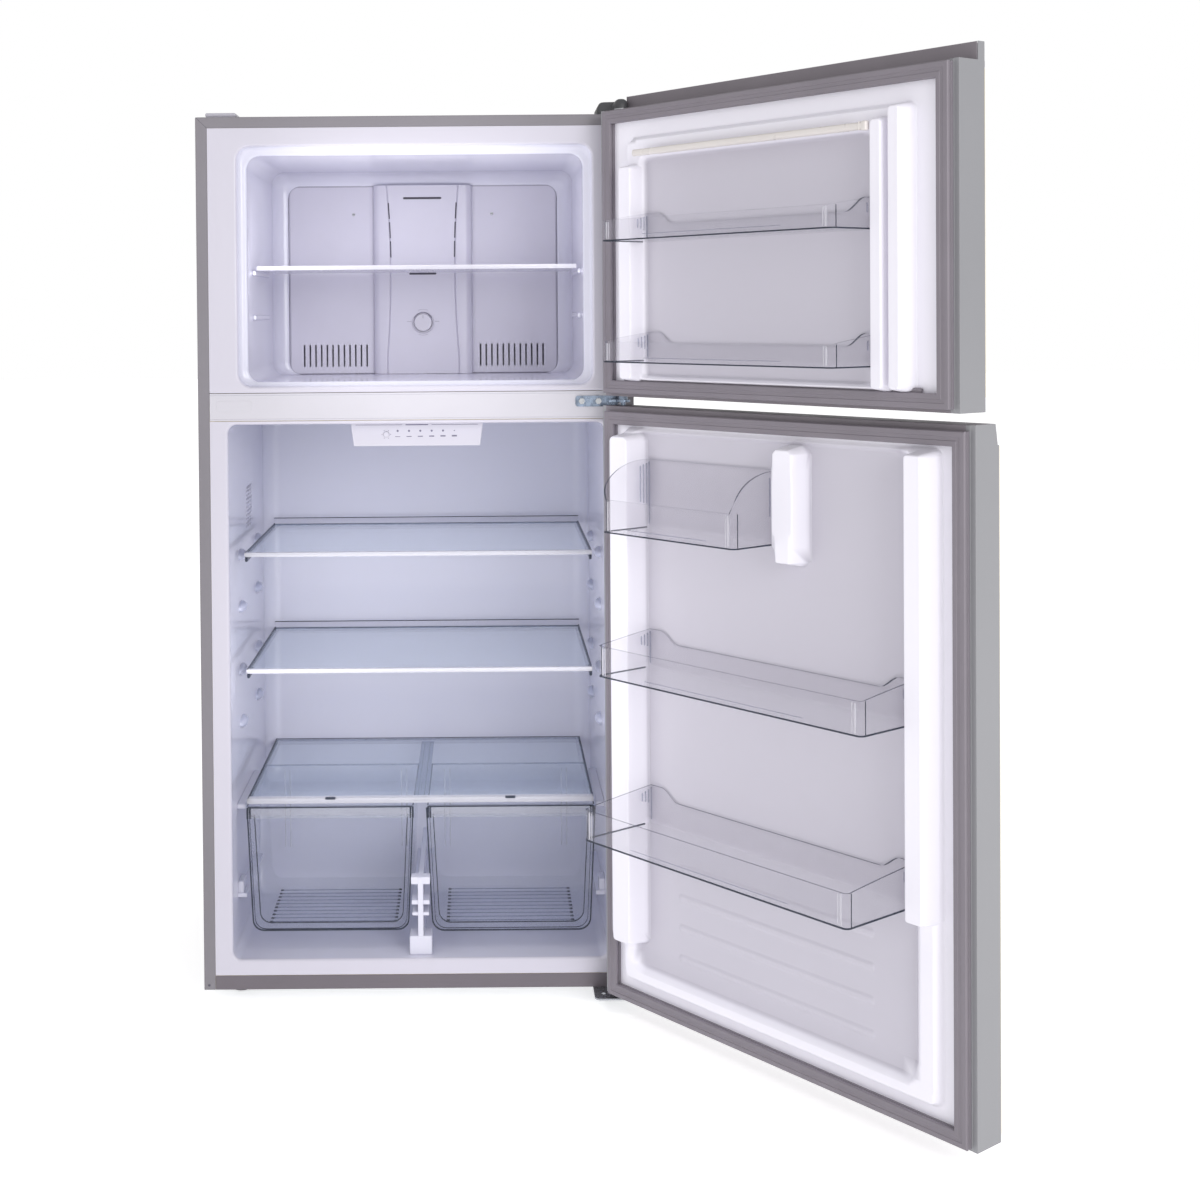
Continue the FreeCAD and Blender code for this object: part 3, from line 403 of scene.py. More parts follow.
# ---- cabinet ----
def cabinet_wrapper(bm):
    """Folded sheet: outer side, rolled front edge and the flange, carried round three sides."""
    profile = [(0.8, 0.8, 618.5), (0, 0, 618.5), (0, 0, 1.6), (0.5, 0.5, 0.5), (1.6, 1.6, 0), (19.6, 18.6, 0),
               (20, 19, 0.3), (20, 19, 0.8), (2.4, 2.4, 0.8), (0.8, 0.8, 2.4)]
    rings = []
    for ox, oz, y in profile:
        r = max(3.0 - ox, 0.0)
        x, z = HALF - ox, TOP - oz
        ring = [Vector((-x, y, 28)), Vector((-x, y, z - max(r, 0.0)))]
        ring += [Vector((-x + r - r * math.cos(a), y, z - r + r * math.sin(a)))
                 for a in (math.radians(22.5), math.radians(45), math.radians(67.5))]
        ring += [Vector((-x + r, y, z))]
        ring += [Vector((-v.x, v.y, v.z)) for v in ring[::-1]]
        rings.append(ring)
    rows = [[bm.verts.new(p) for p in ring] for ring in rings]
    n = len(rows)
    for i in range(n):
        a, b = rows[i], rows[(i + 1) % n]
        for k in range(len(a) - 1):
            bm.faces.new((a[k], b[k], b[k + 1], a[k + 1]))
    bm.faces.new([row[0] for row in rows][::-1])
    bm.faces.new([row[-1] for row in rows])
    bmesh.ops.remove_doubles(bm, verts=bm.verts, dist=0.0005)
    outward(bm)
    for side in (-1, 1):
        mitre = ((360.2, 1535.8), (379.4, 1554.4), (378.9, 1554.9), (359.7, 1536.3))
        prism(bm, [(side * x, z) for x, z in mitre], "Y", -0.06, 0.2, 1)
    rod(bm, (-371, -0.5, 36), (-371, 1, 36), 2.2, 1)


piece("cabinet_wrapper", cabinet_wrapper, ("frame", "shadow"), "cabinet", "cabinet_shell")


def bottom_rail(bm):
    block(bm, -359.5, 359.5, 0, 0.8, 28, 52.6, 0.3, 1)


piece("bottom_rail", bottom_rail, ("rail",), "cabinet", "base_rail")


def freezer_shell(bm):
    """Flange, stepped rim and cavity of the freezer."""
    def ring(grow, y, radius):
        return rect_ring(FREEZER_HALF + grow, FREEZER_HALF + grow, FREEZER_LOW - grow, FREEZER_HIGH + grow,
                         radius, y)

    def rim(grow, y, radius):
        return rect_ring(RIM_HALF + grow, RIM_HALF + grow, RIM_LOW - grow, RIM_HIGH + grow, radius, y)

    def back(inset, y):
        half = FREEZER_HALF - inset
        return rect_ring(half, half, FREEZER_LOW, FREEZER_HIGH - inset * 0.88, 24, y)

    rings = [rect_ring(FLANGE, FLANGE, 1074.6, 1535.6, 0.5, 0)]
    for t in turn_points((0, 22.5, 45, 67.5, 90)):
        rings.append(rim(4 * (1 - math.sin(t)), 4 * (1 - math.cos(t)), 26 - 2 * math.sin(t)))
    rings.append(rim(-0.5, 13, 24))
    for t in turn_points((0, 30, 60, 90)):
        rings.append(rim(-0.5 - 7 * (1 - math.cos(t)), 13 + 8 * math.sin(t), 24))
    for t in turn_points((0, 30, 60, 90)):
        rings.append(ring(4 * (1 - math.sin(t)), 21.5 + 4 * (1 - math.cos(t)), 24 + 3 * (1 - math.sin(t))))
    rings.append(back(0, 200))
    for t in turn_points((0, 12, 25, 38, 52, 66, 80, 90)):
        rings.append(back(27.5 * (1 - math.cos(t)), 397 + 33 * math.sin(t)))
    rings.append(back(28.2, 433))
    rings.append(back(28.2, 524))
    ring_loft(bm, rings, [0] * 5 + [1])
    face_forward(bm, 500)


piece("freezer_shell", freezer_shell, ("liner", "liner_in"), "cabinet", "freezer_liner", angle=50,
      solidify=1.5)


def freezer_lugs(bm):
    for side in (-1, 1):
        for z in (1290.0, 1210.0):
            block(bm, *pair(side, 295, 288.3), 90, 300, z - 9, z, 3.5, 4)


piece("freezer_lugs", freezer_lugs, ("liner_in",), "cabinet")


def fridge_shell(bm):
    """Flange and cavity of the fridge, with the raised floor over the machine room."""
    def ring(grow, y, low, radius):
        return rect_ring(FRIDGE_HALF + grow, FRIDGE_HALF + grow, low - grow, FRIDGE_HIGH + grow, radius, y)

    rings = [rect_ring(FLANGE, FLANGE, 53.4, 1025, 0.5, 0)]
    for t in turn_points((0, 22.5, 45, 67.5, 90)):
        rings.append(ring(5 * (1 - math.sin(t)), 5 * (1 - math.cos(t)), FRIDGE_LOW, 17 - 2 * math.sin(t)))
    rings.append(ring(-0.5, 120, FRIDGE_LOW, 15))
    step = ((300, FRIDGE_LOW), (338, 81.5), (345, 85), (350, 95), (358, 126), (379, 214), (386, 242),
            (391, 256), (397, 263), (406, 265.5), (440, 266), (466, 266))
    for y, low in step:
        rings.append(ring(-1.0, y, low, 15))
    for t in turn_points((15, 30, 45, 60, 75, 90)):
        rings.append(ring(-1 - 32 * (1 - math.cos(t)), 466 + 33 * math.sin(t), 266, 15))
    ring_loft(bm, rings, [0] * 5 + [1])
    face_forward(bm, 490)


piece("fridge_shell", fridge_shell, ("liner", "liner_in"), "cabinet", "fridge_liner", angle=50, solidify=1.5)


def soft_lug(bm, side, y, z, mat, reach=11, length=30, height=10):
    """Shallow domed support pressed out of the side wall, its top at z."""
    spot = Matrix.Translation((side * 328.3, y, z - height)) @ Matrix.Diagonal((reach, length, height, 1))
    before = set(bm.faces)
    bmesh.ops.create_uvsphere(bm, u_segments=32, v_segments=20, radius=1.0, matrix=spot)
    for face in set(bm.faces) - before:
        face.material_index = mat


def fridge_lugs(bm):
    for side in (-1, 1):
        for shelf in (UPPER_SHELF, LOWER_SHELF):
            for drop in (0, 95):
                z = shelf - 4.6 - drop
                # Material 2 gives the supports the darker painted-shade colour.
                soft_lug(bm, side, 140, z, 2)
                soft_lug(bm, side, 366, z, 2)
        block(bm, *pair(side, 329.5, 313), 66, 300, 327, 336, 3, 3)
        block(bm, *pair(side, 329, 312), 66, 300, 168, 176, 2, 2)
        block(bm, *pair(side, 329, 318), 70, 110, 168, 196, 3, 2)
    for k in range(11):
        z = 811 + k * 7.4
        for y in (226, 250, 274):
            block(bm, -328.6, -327.0, y, y + 19 - 3 * ((k * 5 + y) % 3), z, z + 4.0, 0.4, 1, 1)


piece("fridge_lugs", fridge_lugs, ("liner_in", "soft_line", "lug"), "cabinet")


def rail(bm):
    block(bm, -FLANGE, FLANGE, -0.6, 1.5, 1025.9, 1073.7, 0.6, 2)
    block(bm, -359, 359, -0.75, 0, 1070.0, 1070.5, 0.1, 1, 1)
    block(bm, -359, 359, -0.75, 0, 1028.6, 1029.1, 0.1, 1, 1)


piece("divider_strip", rail, ("rail_white", "soft_line"), "cabinet", "divider_rail")


def plug(bm):
    prism(bm, [(p.x, p.z) for p in rect_ring(347, -286, 1042, 1061, 4, 0, 4)], "Y", -0.95, -0.3, 0, 0.2, 1)


piece("rail_plug_cover", plug, ("rail_white",), "cabinet", "rail_plug")


def hole_cap(bm):
    block(bm, -368, -314, 36, 92, TOP + 4, TOP + 11.5, 3, 3)
    block(bm, -366.5, -315.5, 37.5, 90.5, TOP, TOP + 6, 1, 1)


piece("hinge_hole_cover", hole_cap, ("white",), "cabinet", "hinge_hole_cap")


def hinge_cover(bm):
    """Low tapered cover over the upper hinge with a rounded nose above the pin."""
    def ring(grow, z):
        x0, x1, y1 = 320 + grow, 368 - grow, 100 - grow
        tip = [(358 + (12 - grow) * math.cos(math.radians(a)), -38 + (11 - grow) * math.sin(math.radians(a)))
               for a in range(350, 189, -20)]
        sides = [(x1, 8), (x1, y1 - 6), (x1 - 6, y1), (x0 + 6, y1), (x0, y1 - 6), (x0, 8), (x0 + 4, 3),
                 (344 + grow, 0)]
        return [Vector((x, y, z)) for x, y in tip + sides[::-1]]

    levels = ((0, 0.3), (0, 9), (0.8, 14), (3.5, 18.8), (7, 20.8))
    rings = [ring(grow, TOP + rise) for grow, rise in levels]
    ring_loft(bm, rings, [0], True)
    outward(bm)


piece("hinge_cover_top", hinge_cover, ("dark",), "cabinet", "top_hinge_cover", angle=45)


# ---- freezer inside ----
COVER_Y = 432.0
KNOB = Vector((0, 413.6, 1193))


def slot_cutters(bm):
    z0 = 1092.0
    for centre in (-175.0, 175.0):
        for i in range(12):
            x = centre - 62 + i * 11.3
            block(bm, x - 1.6, x + 1.6, COVER_Y - 6, COVER_Y + 8, z0 + 14, z0 + 58, 1.4, 2)


def evaporator_panel(bm):
    outline = rect_ring(266, 266, 1092, 1465, 18, 0)
    prism(bm, [(p.x, p.z) for p in outline], "Y", COVER_Y, COVER_Y + 3, 0, 1.2, 2)


def cut_with(obj, build):
    """Cuts holes with a mesh built by a function and applies the result."""
    bm = bmesh.new()
    build(bm)
    bmesh.ops.scale(bm, vec=(MM, MM, MM), verts=bm.verts)
    tool = place("cutter", mesh_of(bm, "cutter"))
    mod = obj.modifiers.new("cut", "BOOLEAN")
    mod.operation = "DIFFERENCE"
    mod.object = tool
    mod.solver = "EXACT"
    while obj.modifiers[0] != mod:
        bpy.context.view_layer.objects.active = obj
        obj.modifiers.move(len(obj.modifiers) - 1, 0)
    shown = [m for m in obj.modifiers if m != mod]
    for m in shown:
        m.show_viewport = False
    made = bpy.data.meshes.new_from_object(obj.evaluated_get(bpy.context.evaluated_depsgraph_get()))
    for m in shown:
        m.show_viewport = True
    obj.modifiers.remove(mod)
    obj.data = made
    bpy.data.objects.remove(tool)
    made.shade_smooth()
    made.set_sharp_from_angle(angle=math.radians(30))


def panel_holes(bm):
    slot_cutters(bm)
    lathe(bm, (0, COVER_Y - 5, 1390), (0, COVER_Y + 10, 1390), [(0, 52), (15, 52)], 48)


back_panel = piece("freezer_back_panel", evaporator_panel, ("panel",), "cabinet", "evaporator_cover")
cut_with(back_panel, panel_holes)


def panel_trim(bm):
    path = rect_ring(264, 264, 1093, 1463, 17, COVER_Y - 0.2)
    sweep(bm, path, [(-0.7, -0.4), (0.7, -0.4), (0.7, 0.6), (-0.7, 0.6)], True, 0)
    for x, z in ((-137, 1408), (137, 1408)):
        rod(bm, (x, COVER_Y - 2, z), (x, COVER_Y + 1, z), 3.2, 1)
        block(bm, x - 2.2, x + 2.2, COVER_Y - 2.2, COVER_Y - 1.5, z - 0.5, z + 0.5, 0.1, 1, 2)


piece("freezer_panel_trim", panel_trim, ("soft_line", "steel", "shadow"), "cabinet", slot="white_plastic")


def tower_curve(z):
    """Half width of the tower's inner panel at a height."""
    return 64 + 7 * min(1.0, ((z - 1295) / 168) ** 2)


def duct_tower(bm):
    levels = [1092 + (1464 - 1092) * k / 30 for k in range(31)]
    rings = []
    for z in levels:
        w = tower_curve(z)
        half = [(0, 412.5), (w - 2.5, 412.5), (w - 1.2, 413.3), (w, 415.6), (w + 1.2, 413.9), (w + 3, 413.6),
                (84, 414.2), (91, 416.8), (96, 422), (98, 431.9)]
        ring = [Vector((x, y, z)) for x, y in half] + [Vector((97, 432.5, z)), Vector((-97, 432.5, z))]
        ring += [Vector((-x, y, z)) for x, y in half[::-1][:-1]]
        rings.append(ring)
    ring_loft(bm, rings, [0], True)
    outward(bm)


def tower_slots(bm):
    block(bm, -38, 38, 405, 420, 1436.5, 1441, 2, 2)
    block(bm, -27, 27, 405, 420, 1287.5, 1291.5, 1.9, 2)
    for side in (-1, 1):
        for k in range(3):
            z = 1322 + k * 38
            w0, w1 = tower_curve(z) - 1.5, tower_curve(z + 32) - 1.5
            prism(bm, [(side * (w0 - 1.2), z), (side * (w0 + 1.3), z), (side * (w1 + 1.3), z + 32),
                       (side * (w1 - 1.2), z + 32)], "Y", 405, 419)
    lathe(bm, (0, 400, 1193), (0, 425, 1193), [(0, 4.3), (25, 4.3)], 32)


tower = piece("freezer_air_tower", duct_tower, ("panel",), "cabinet", "air_duct_cover")
cut_with(tower, tower_slots)


def tower_back(bm):
    """Painted shadow: a dark sheet behind the tower's slots stands in for the shade inside the duct."""
    block(bm, -68, 68, 416.4, 418.6, 1280, 1446, 0.3, 1)


piece("tower_slot_shadow_sheet", tower_back, ("shadow",), "cabinet")


def knob(bm):
    profile = [(0, 20.2), (0.8, 21), (4.2, 21), (5.2, 20.4), (5.4, 19.6), (5.2, 18.9), (2.6, 18.6),
               (2.6, 17.4), (11.0, 17.0), (12.2, 16.4), (12.4, 15.2)]
    lathe(bm, (0, 413.4, KNOB.z), (0, 400, KNOB.z), profile, 64)
    block(bm, -0.8, 0.8, 400.8, 402, KNOB.z + 8, KNOB.z + 14.5, 0.3, 1, 2)
    # Painted shadow: a dark arc in the ink colour along the upper rim of the knob.
    path = [Vector((19.7 * math.sin(t), 408.0, KNOB.z + 19.7 * math.cos(t)))
            for t in turn_points(range(-62, 66, 4))]
    sweep(bm, path, [(-0.6, -0.15), (0.6, -0.15), (0.6, 0.4), (-0.6, 0.4)], False, 1)


piece("airflow_knob_dial", knob, ("white", "ink", "soft_line"), "knob", "airflow_knob")


def knob_marks(bm):
    def arc(r, a0, a1, width=0.7):
        path = [Vector((r * math.sin(t), 412.3, KNOB.z + r * math.cos(t)))
                for t in turn_points(a0 + (a1 - a0) * k / 14 for k in range(15))]
        sweep(bm, path, [(-width / 2, -0.1), (width / 2, -0.1), (width / 2, 0.4), (-width / 2, 0.4)], False)

    arc(26, -22, 22, 0.8)
    arc(25, 158, 202, 0.8)
    for side in (-1, 1):
        block(bm, *pair(side, 23, 32), 412.2, 412.7, KNOB.z + 1.5, KNOB.z + 2.6, 0.1, 1)


piece("airflow_marks", knob_marks, ("soft_line",), "cabinet")


def freezer_rack(bm):
    section = [(80, 1290), (82, 1297.6), (86, 1298), (92, 1295), (405, 1295), (405, 1291), (90, 1291),
               (84, 1289.6)]
    prism(bm, section, "X", -286, 286, 0, 0.8, 2)
    for x in range(-272, 280, 32):
        block(bm, x - 0.5, x + 0.5, 96, 400, 1294.6, 1295.4, 0.1, 1)


piece("freezer_rack_shelf", freezer_rack, ("milky_and_glint",), "freezer_rack", "freezer_shelf")

# ---- fridge inside ----
HOUSE_Y = 36.0


def housing(bm):
    for wide, top, narrow, y0, y1, r, seg in ((116, 1018.5, 110.5, HOUSE_Y + 1, 199, 1.5, 3),
                                              (116.8, 1018.8, 111.4, HOUSE_Y, HOUSE_Y + 4, 0.9, 2)):
        outline = [(-wide, top), (wide, top), (narrow, 977.5), (-narrow, 977.5)]
        prism(bm, outline, "Y", y0, y1, 0, r, seg)


def button_hole(bm):
    lathe(bm, (-54, 20, 998), (-54, 60, 998), [(0, 5.3), (40, 5.3)], 40)
    block(bm, -104, 104, 40, 196, 980, 1016, 0.5, 1)


house = piece("control_housing_cover", housing, ("white",), "cabinet", "control_housing")
cut_with(house, button_hole)


def house_print(bm):
    """Plain marks on the control panel: a rule, a row of level bars and dots."""
    y0, y1 = HOUSE_Y - 0.12, HOUSE_Y + 0.2
    block(bm, -108, -26, y0, y1, 1014.4, 1015.2, 0.05, 1)
    block(bm, 26, 108, y0, y1, 1014.4, 1015.2, 0.05, 1)
    block(bm, -20, 20, y0, y1, 1013.9, 1015.7, 0.05, 1)
    for k in range(6):
        x = -34 + k * 20
        rod(bm, (x, y0, 1004), (x, y1 + 0.1, 1004), 1.9 if k < 5 else 1.1, 0, 20, 0.05)
        block(bm, x - 4.5, x + 4.5, y0, y1, 993.4, 994.4 + 0.35 * k, 0.05, 1)
    for t in turn_points(range(0, 360, 60)):
        x, z = -54 + 7.6 * math.cos(t), 998 + 7.6 * math.sin(t)
        rod(bm, (-54, y0, 998), (-54, y1, 998), 0.01, 0, 6, 0.001)
        block(bm, x - 0.6, x + 0.6, y0, y1, z - 0.6, z + 0.6, 0.05, 1)


piece("control_panel_marks", house_print, ("ink",), "cabinet")


def button(bm):
    profile = [(0, 7), (2, 7), (2, 5), (10, 5), (10.8, 4.6), (11, 4)]
    lathe(bm, (-54, HOUSE_Y + 9, 998), (-54, 0, 998), profile, 40)


piece("control_button_cap", button, ("white",), "button", "control_button")


def lens(bm):
    block(bm, -60, 60, 210, 290, 1007.2, 1018.8, 5, 4)
    for k in range(13):
        block(bm, -54 + k * 8.6, -51 + k * 8.6, 216, 284, 1006.4, 1008, 0.4, 1)


piece("lamp_cover", lens, ("lens",), "cabinet", "light_lens")


def glass_pane(z, front):
    def build(bm):
        block(bm, -305, 305, front + 4, GLASS_BACK - 4, z - 4, z, 0.6, 2)
        for f in bm.faces:
            if abs(f.normal.z) < 0.7:
                f.material_index = 1
    return build


def shelf_frame(z, front):
    """Clear side runners and a milky front bead and back bar."""
    def build(bm):
        bead = ((0, -3.5), (0, 0.6), (1, 1.4), (9, 1.4), (10, 0.3), (5, 0.1), (3.9, -0.2), (3.9, -4.2),
                (11, -4.4), (10, -6.4), (2, -6.6))
        prism(bm, [(front + y, z + rise) for y, rise in bead], "X", -308, 308, 1, 0.25, 1)
        bar = ((472, 0.1), (474, 1.4), (484.4, 1.4), (485, 10.8), (488, 10.8), (488, -6.8), (474, -6.8),
               (474, -4.1), (484.1, -4.1), (484.1, 0.1))
        prism(bm, [(y, z + rise) for y, rise in bar], "X", -308, 308, 3, 0.3, 1)
        block(bm, -308, 308, 484.6, 488, z + 10.6, z + 12, 0.5, 1, 0)
        block(bm, -306, 306, 471.8, 473.2, z + 0.1, z + 1.1, 0.3, 1, 0)
        for side in (-1, 1):
            for y0, y1, mat in ((front + 4, front + 44, 2), (front + 44, 484, 0)):
                block(bm, *pair(side, 308, 305.1), y0, y1, z - 6.6, z + 1.4, 0.7, 2, mat)
            block(bm, *pair(side, 307, 299), front + 6, 484, z - 6.8, z - 4.1, 0.6, 1, 3)
            block(bm, *pair(side, 308, 303), front + 6, front + 60, z - 16, z - 6, 2, 2, 2)
    return build


for label, z, front in (("upper", UPPER_SHELF, 45.0), ("lower", LOWER_SHELF, 57.0)):
    piece(label + "_glass", glass_pane(z, front), ("glass", "glass_edge"), label + "_shelf",
          label + "_shelf_glass")
    piece(label + "_glass_trim", shelf_frame(z, front), ("clear_rim", "milky_and_glint", "clear_rim", "clear"),
          label + "_shelf", label + "_shelf_trim")

COVER_Z = 350.0
COVER_FRONT = 46.0


piece("crisper_glass", glass_pane(COVER_Z, COVER_FRONT + 6), ("glass", "glass_edge"), "cabinet",
      "crisper_cover_glass")


def cover_frame(bm):
    z, f = COVER_Z, COVER_FRONT
    bead = ((0, -3), (0.5, 0.6), (2, 1), (16, 1), (17, 0.2), (10, 0.1), (9.6, -4.2), (18, -4.4), (18, -8.8),
            (2, -8.8))
    prism(bm, [(f + y, z + rise) for y, rise in bead], "X", -308, 308, 1, 0.3, 1)
    bar = ((474, 0.1), (474, 1), (488, 1), (488, -8.8), (474, -8.8), (474, -4.1), (484, -4.1), (484, 0.1))
    prism(bm, [(y, z + rise) for y, rise in bar], "X", -308, 308, 4, 0.3, 1)
    block(bm, -308, 308, 486.6, 488, z - 0.4, z + 1.1, 0.4, 1, 0)
    for side in (-1, 1):
        block(bm, *pair(side, 308, 305.1), f + 2, 486, z - 8.8, z + 1, 0.8, 2, 0)
        block(bm, *pair(side, 306, 298), f + 12, 484, z - 8.8, z - 4.1, 0.8, 1, 4)
        block(bm, *pair(side, 12.5, 5), f + 12, 476, z - 8.6, z - 4.1, 1, 1, 3)
    block(bm, -6, 6, f + 12, 476, z - 8.8, z - 4.1, 1, 1, 3)
    for x in (-160, 160):
        block(bm, x - 9, x + 9, f - 0.6, f + 6, z - 1.6, z + 2.2, 1, 2, 2)


piece("crisper_cover_trim", cover_frame, ("clear_rim", "milky_and_glint", "clear_rim", "clear_dim", "clear"), "cabinet",
      "crisper_cover_frame")


def guide(bm):
    floor = FRIDGE_LOW
    block(bm, -20, 20, 15, 60, floor - 0.3, floor + 34, 3, 3)
    block(bm, -5, 5, 16, 320, floor, 218, 2, 2)
    block(bm, -16, 16, 18, 320, 169, 177, 1.5, 2)
    block(bm, -17, 17, 17, 40, 205, 218.5, 2, 2)
    for side in (-1, 1):
        block(bm, *pair(side, 4, 15), 17, 60, 150, 156, 1.5, 2)


piece("crisper_centre_guide", guide, ("liner_in",), "cabinet", "crisper_guide", slot="white_plastic")


def drawer(side):
    """Clear drawer: tapered walls, rounded bottom edges, thick front rim, ribs on the floor."""
    def build(bm):
        z0, z1, y0, y1 = 115.0, 337.0, 46.0, 336.0

        def ring(inset, y, low, high):
            """U-shaped section from top inner corner round the bottom to the top outer corner."""
            r = 20.0
            li, lo = 12 + inset, 309 - inset
            bi, bo = 21 + inset, 300 - inset
            pts = [(li, high)]
            for centre, first in ((bi + r, 180), (bo - r, 270)):
                pts += [(centre + r * math.cos(a), low + r + r * math.sin(a))
                        for a in turn_points(first + 90 * k / 6 for k in range(7))]
            pts.append((lo, high))
            return [Vector((side * x, y, z)) for x, z in pts]

        outer = [ring(0, y0, z0, z1), ring(0, y1, z0 + 0, z1)]
        inner = [ring(2.4, y0 + 2.4, z0 + 2.4, z1), ring(2.4, y1 - 2.4, z0 + 2.4, z1)]
        vo = [[bm.verts.new(p) for p in r] for r in outer]
        vi = [[bm.verts.new(p) for p in r] for r in inner]
        n = len(vo[0])
        faces = []
        for k in range(n - 1):
            faces.append((bm.faces.new((vo[0][k], vo[1][k], vo[1][k + 1], vo[0][k + 1])), 0))
            faces.append((bm.faces.new((vi[0][k], vi[0][k + 1], vi[1][k + 1], vi[1][k])), 0))
        for rows in (vo, vi):
            for row in rows:
                faces.append((bm.faces.new(row), 0))
        rim = [(vo[0][0], vo[1][0], vi[1][0], vi[0][0]), (vo[0][-1], vo[1][-1], vi[1][-1], vi[0][-1]),
               (vo[0][0], vo[0][-1], vi[0][-1], vi[0][0]), (vo[1][0], vo[1][-1], vi[1][-1], vi[1][0])]
        for quad in rim:
            faces.append((bm.faces.new(quad), 1))
        outward(bm, [f for f, _ in faces])
        for f, m in faces:
            f.material_index = m
        for y, inset, width in ((y0 - 0.2, 0.0, 2.3), (y0 - 0.2, 4.2, 0.8), (y0 + 16, 11.0, 1.7)):
            path = ring(inset, y, z0 + inset * 0.75, z1 - 4 - (16 if inset > 9 else 0))
            sweep(bm, path, [(-width, -1.0), (0, -1.0), (0, 1.2), (-width, 1.2)], False, 1)
        for k in range(10):
            y = 84 + k * 19
            block(bm, *pair(side, 50, 268), y, y + 1.6, z0 + 2.3, z0 + 3.8, 0.4, 1, 4)
            for x in (44, 268):
                block(bm, *pair(side, x, x + 6), y - 3, y + 2.4, z0 + 2.3, z0 + 4.4, 0.8, 1, 1)
        block(bm, *pair(side, 14, 307), y0 - 0.6, y0 + 2.2, z1 - 3.2, z1 - 1.2, 0.5, 1, 1)
        block(bm, *pair(side, 15, 306), y0 - 0.8, y0 + 0.4, z1 - 21, z1 - 3.4, 0.5, 1, 5)
        block(bm, *pair(side, 20, 301), y0 - 8, y0 + 1, z1 - 18, z1 - 15.5, 1, 2, 0)
        block(bm, *pair(side, 20, 301), y0 - 8.4, y0 - 6.8, z1 - 21, z1 - 15, 0.6, 1, 0)
        for x, w in ((12, 3), (17, 2), (306, 3), (301.5, 2)):
            block(bm, *pair(side, x, x + w), y0 - 2.5, y0 + 3, z1 - 22, z1 - 2, 0.8, 1, 1)
        block(bm, *pair(side, 14, 307), y1 - 3, y1 - 1, z1 - 2.6, z1 - 0.6, 0.4, 1, 2)
        for x in (36, 46, 262, 272):
            block(bm, *pair(side, x, x + 1.8), y1 - 4.4, y1 - 2.2, z0 + 62, z1 - 10, 0.8, 1, 3)
    return build


for label, side in (("left", -1), ("right", 1)):
    piece(label + "_drawer_tray", drawer(side),
          ("drawer", "clear_rim", "clear_dim", "milky_and_glint", "clear_dark", "haze"), label + "_drawer",
          label + "_crisper")


# ---- doors ----
def gasket(z0, z1, band=False):
    """Magnetic gasket: flat face, soft bellows and a mitred frame."""
    def build(bm):
        path = [Vector((354.0, 0, z1 - 10.0)), Vector((-359.5, 0, z1 - 10.0)), Vector((-359.5, 0, z0 + 10.5)),
                Vector((354.5, 0, z0 + 10.5))]
        profile = [(-10.4, -13.5), (10.4, -13.5), (10.6, -10), (8.2, -8.4), (10.8, -6.4), (11, -3),
                   (9.6, -1.4), (3.4, -1.0), (2.6, -1.9), (-2.4, -1.9), (-3.2, -1.0), (-9.6, -1.4),
                   (-11, -3), (-10.8, -6.4), (-8.2, -8.4), (-10.6, -10)]
        sweep(bm, path, profile, True, 0)
        if band:
            block(bm, -318, 318, -13.4, -6.5, z0 + 20, z0 + 28, 3, 3)
    return build


piece("freezer_gasket", gasket(1073.4, 1551, True), ("gasket",), "freezer_door", "freezer_door_gasket",
      angle=28)
piece("fridge_gasket", gasket(39.7, 1040.8), ("gasket",), "fridge_door", "fridge_door_gasket", angle=28)


def smooth_step(d, w):
    """1 well inside, 0 outside, over a band w wide centred on d = 0."""
    t = max(0.0, min(1.0, 0.5 - d / w))
    return t * t * t * (t * (6 * t - 15) + 10)


def round_rect(x, z, x0, x1, z0, z1, r):
    """Signed distance to a rounded rectangle."""
    dx = abs(x - (x0 + x1) / 2) - (x1 - x0) / 2 + r
    dz = abs(z - (z0 + z1) / 2) - (z1 - z0) / 2 + r
    return math.hypot(max(dx, 0), max(dz, 0)) + min(max(dx, dz), 0) - r


def grid_lines(low, high, edges, fine=1.5, span=10.0, coarse=24.0):
    """Positions from low to high, close together round each edge."""
    marks = {low, high}
    for e in edges:
        k = -span
        while k <= span:
            if low < e + k < high:
                marks.add(round(e + k, 3))
            k += fine
    marks = sorted(marks)
    out = [marks[0]]
    for m in marks[1:]:
        gap = m - out[-1]
        if gap < 0.6 and m != marks[-1]:
            continue
        steps = max(1, math.ceil(gap / coarse))
        out += [out[-1] + gap * (i + 1) / steps for i in range(steps)]
    return out


def paint_pan_shade(mat):
    """Painted shade: darken the colour of the flat recess inside the raised ridges, by the weight that
    relief() stores on the mesh.
    """
    tree = mat.node_tree
    bsdf = next(n for n in tree.nodes if n.type == "BSDF_PRINCIPLED")
    base = bsdf.inputs["Base Color"].links[0].from_socket
    pan_shade = tree.nodes.new("ShaderNodeAttribute")
    pan_shade.attribute_name = "pan_shade"
    mix = tree.nodes.new("ShaderNodeMix")
    mix.data_type = "RGBA"
    mix.blend_type = "MULTIPLY"
    # Shade colour multiplied into the recessed pan: painted shade.
    mix.inputs[7].default_value = (0.63, 0.62, 0.645, 1)
    link(tree, pan_shade, "Fac", mix, 0)
    tree.links.new(base, mix.inputs[6])
    link(tree, mix, 2, bsdf, "Base Color")


paint_pan_shade(M["door_liner"])


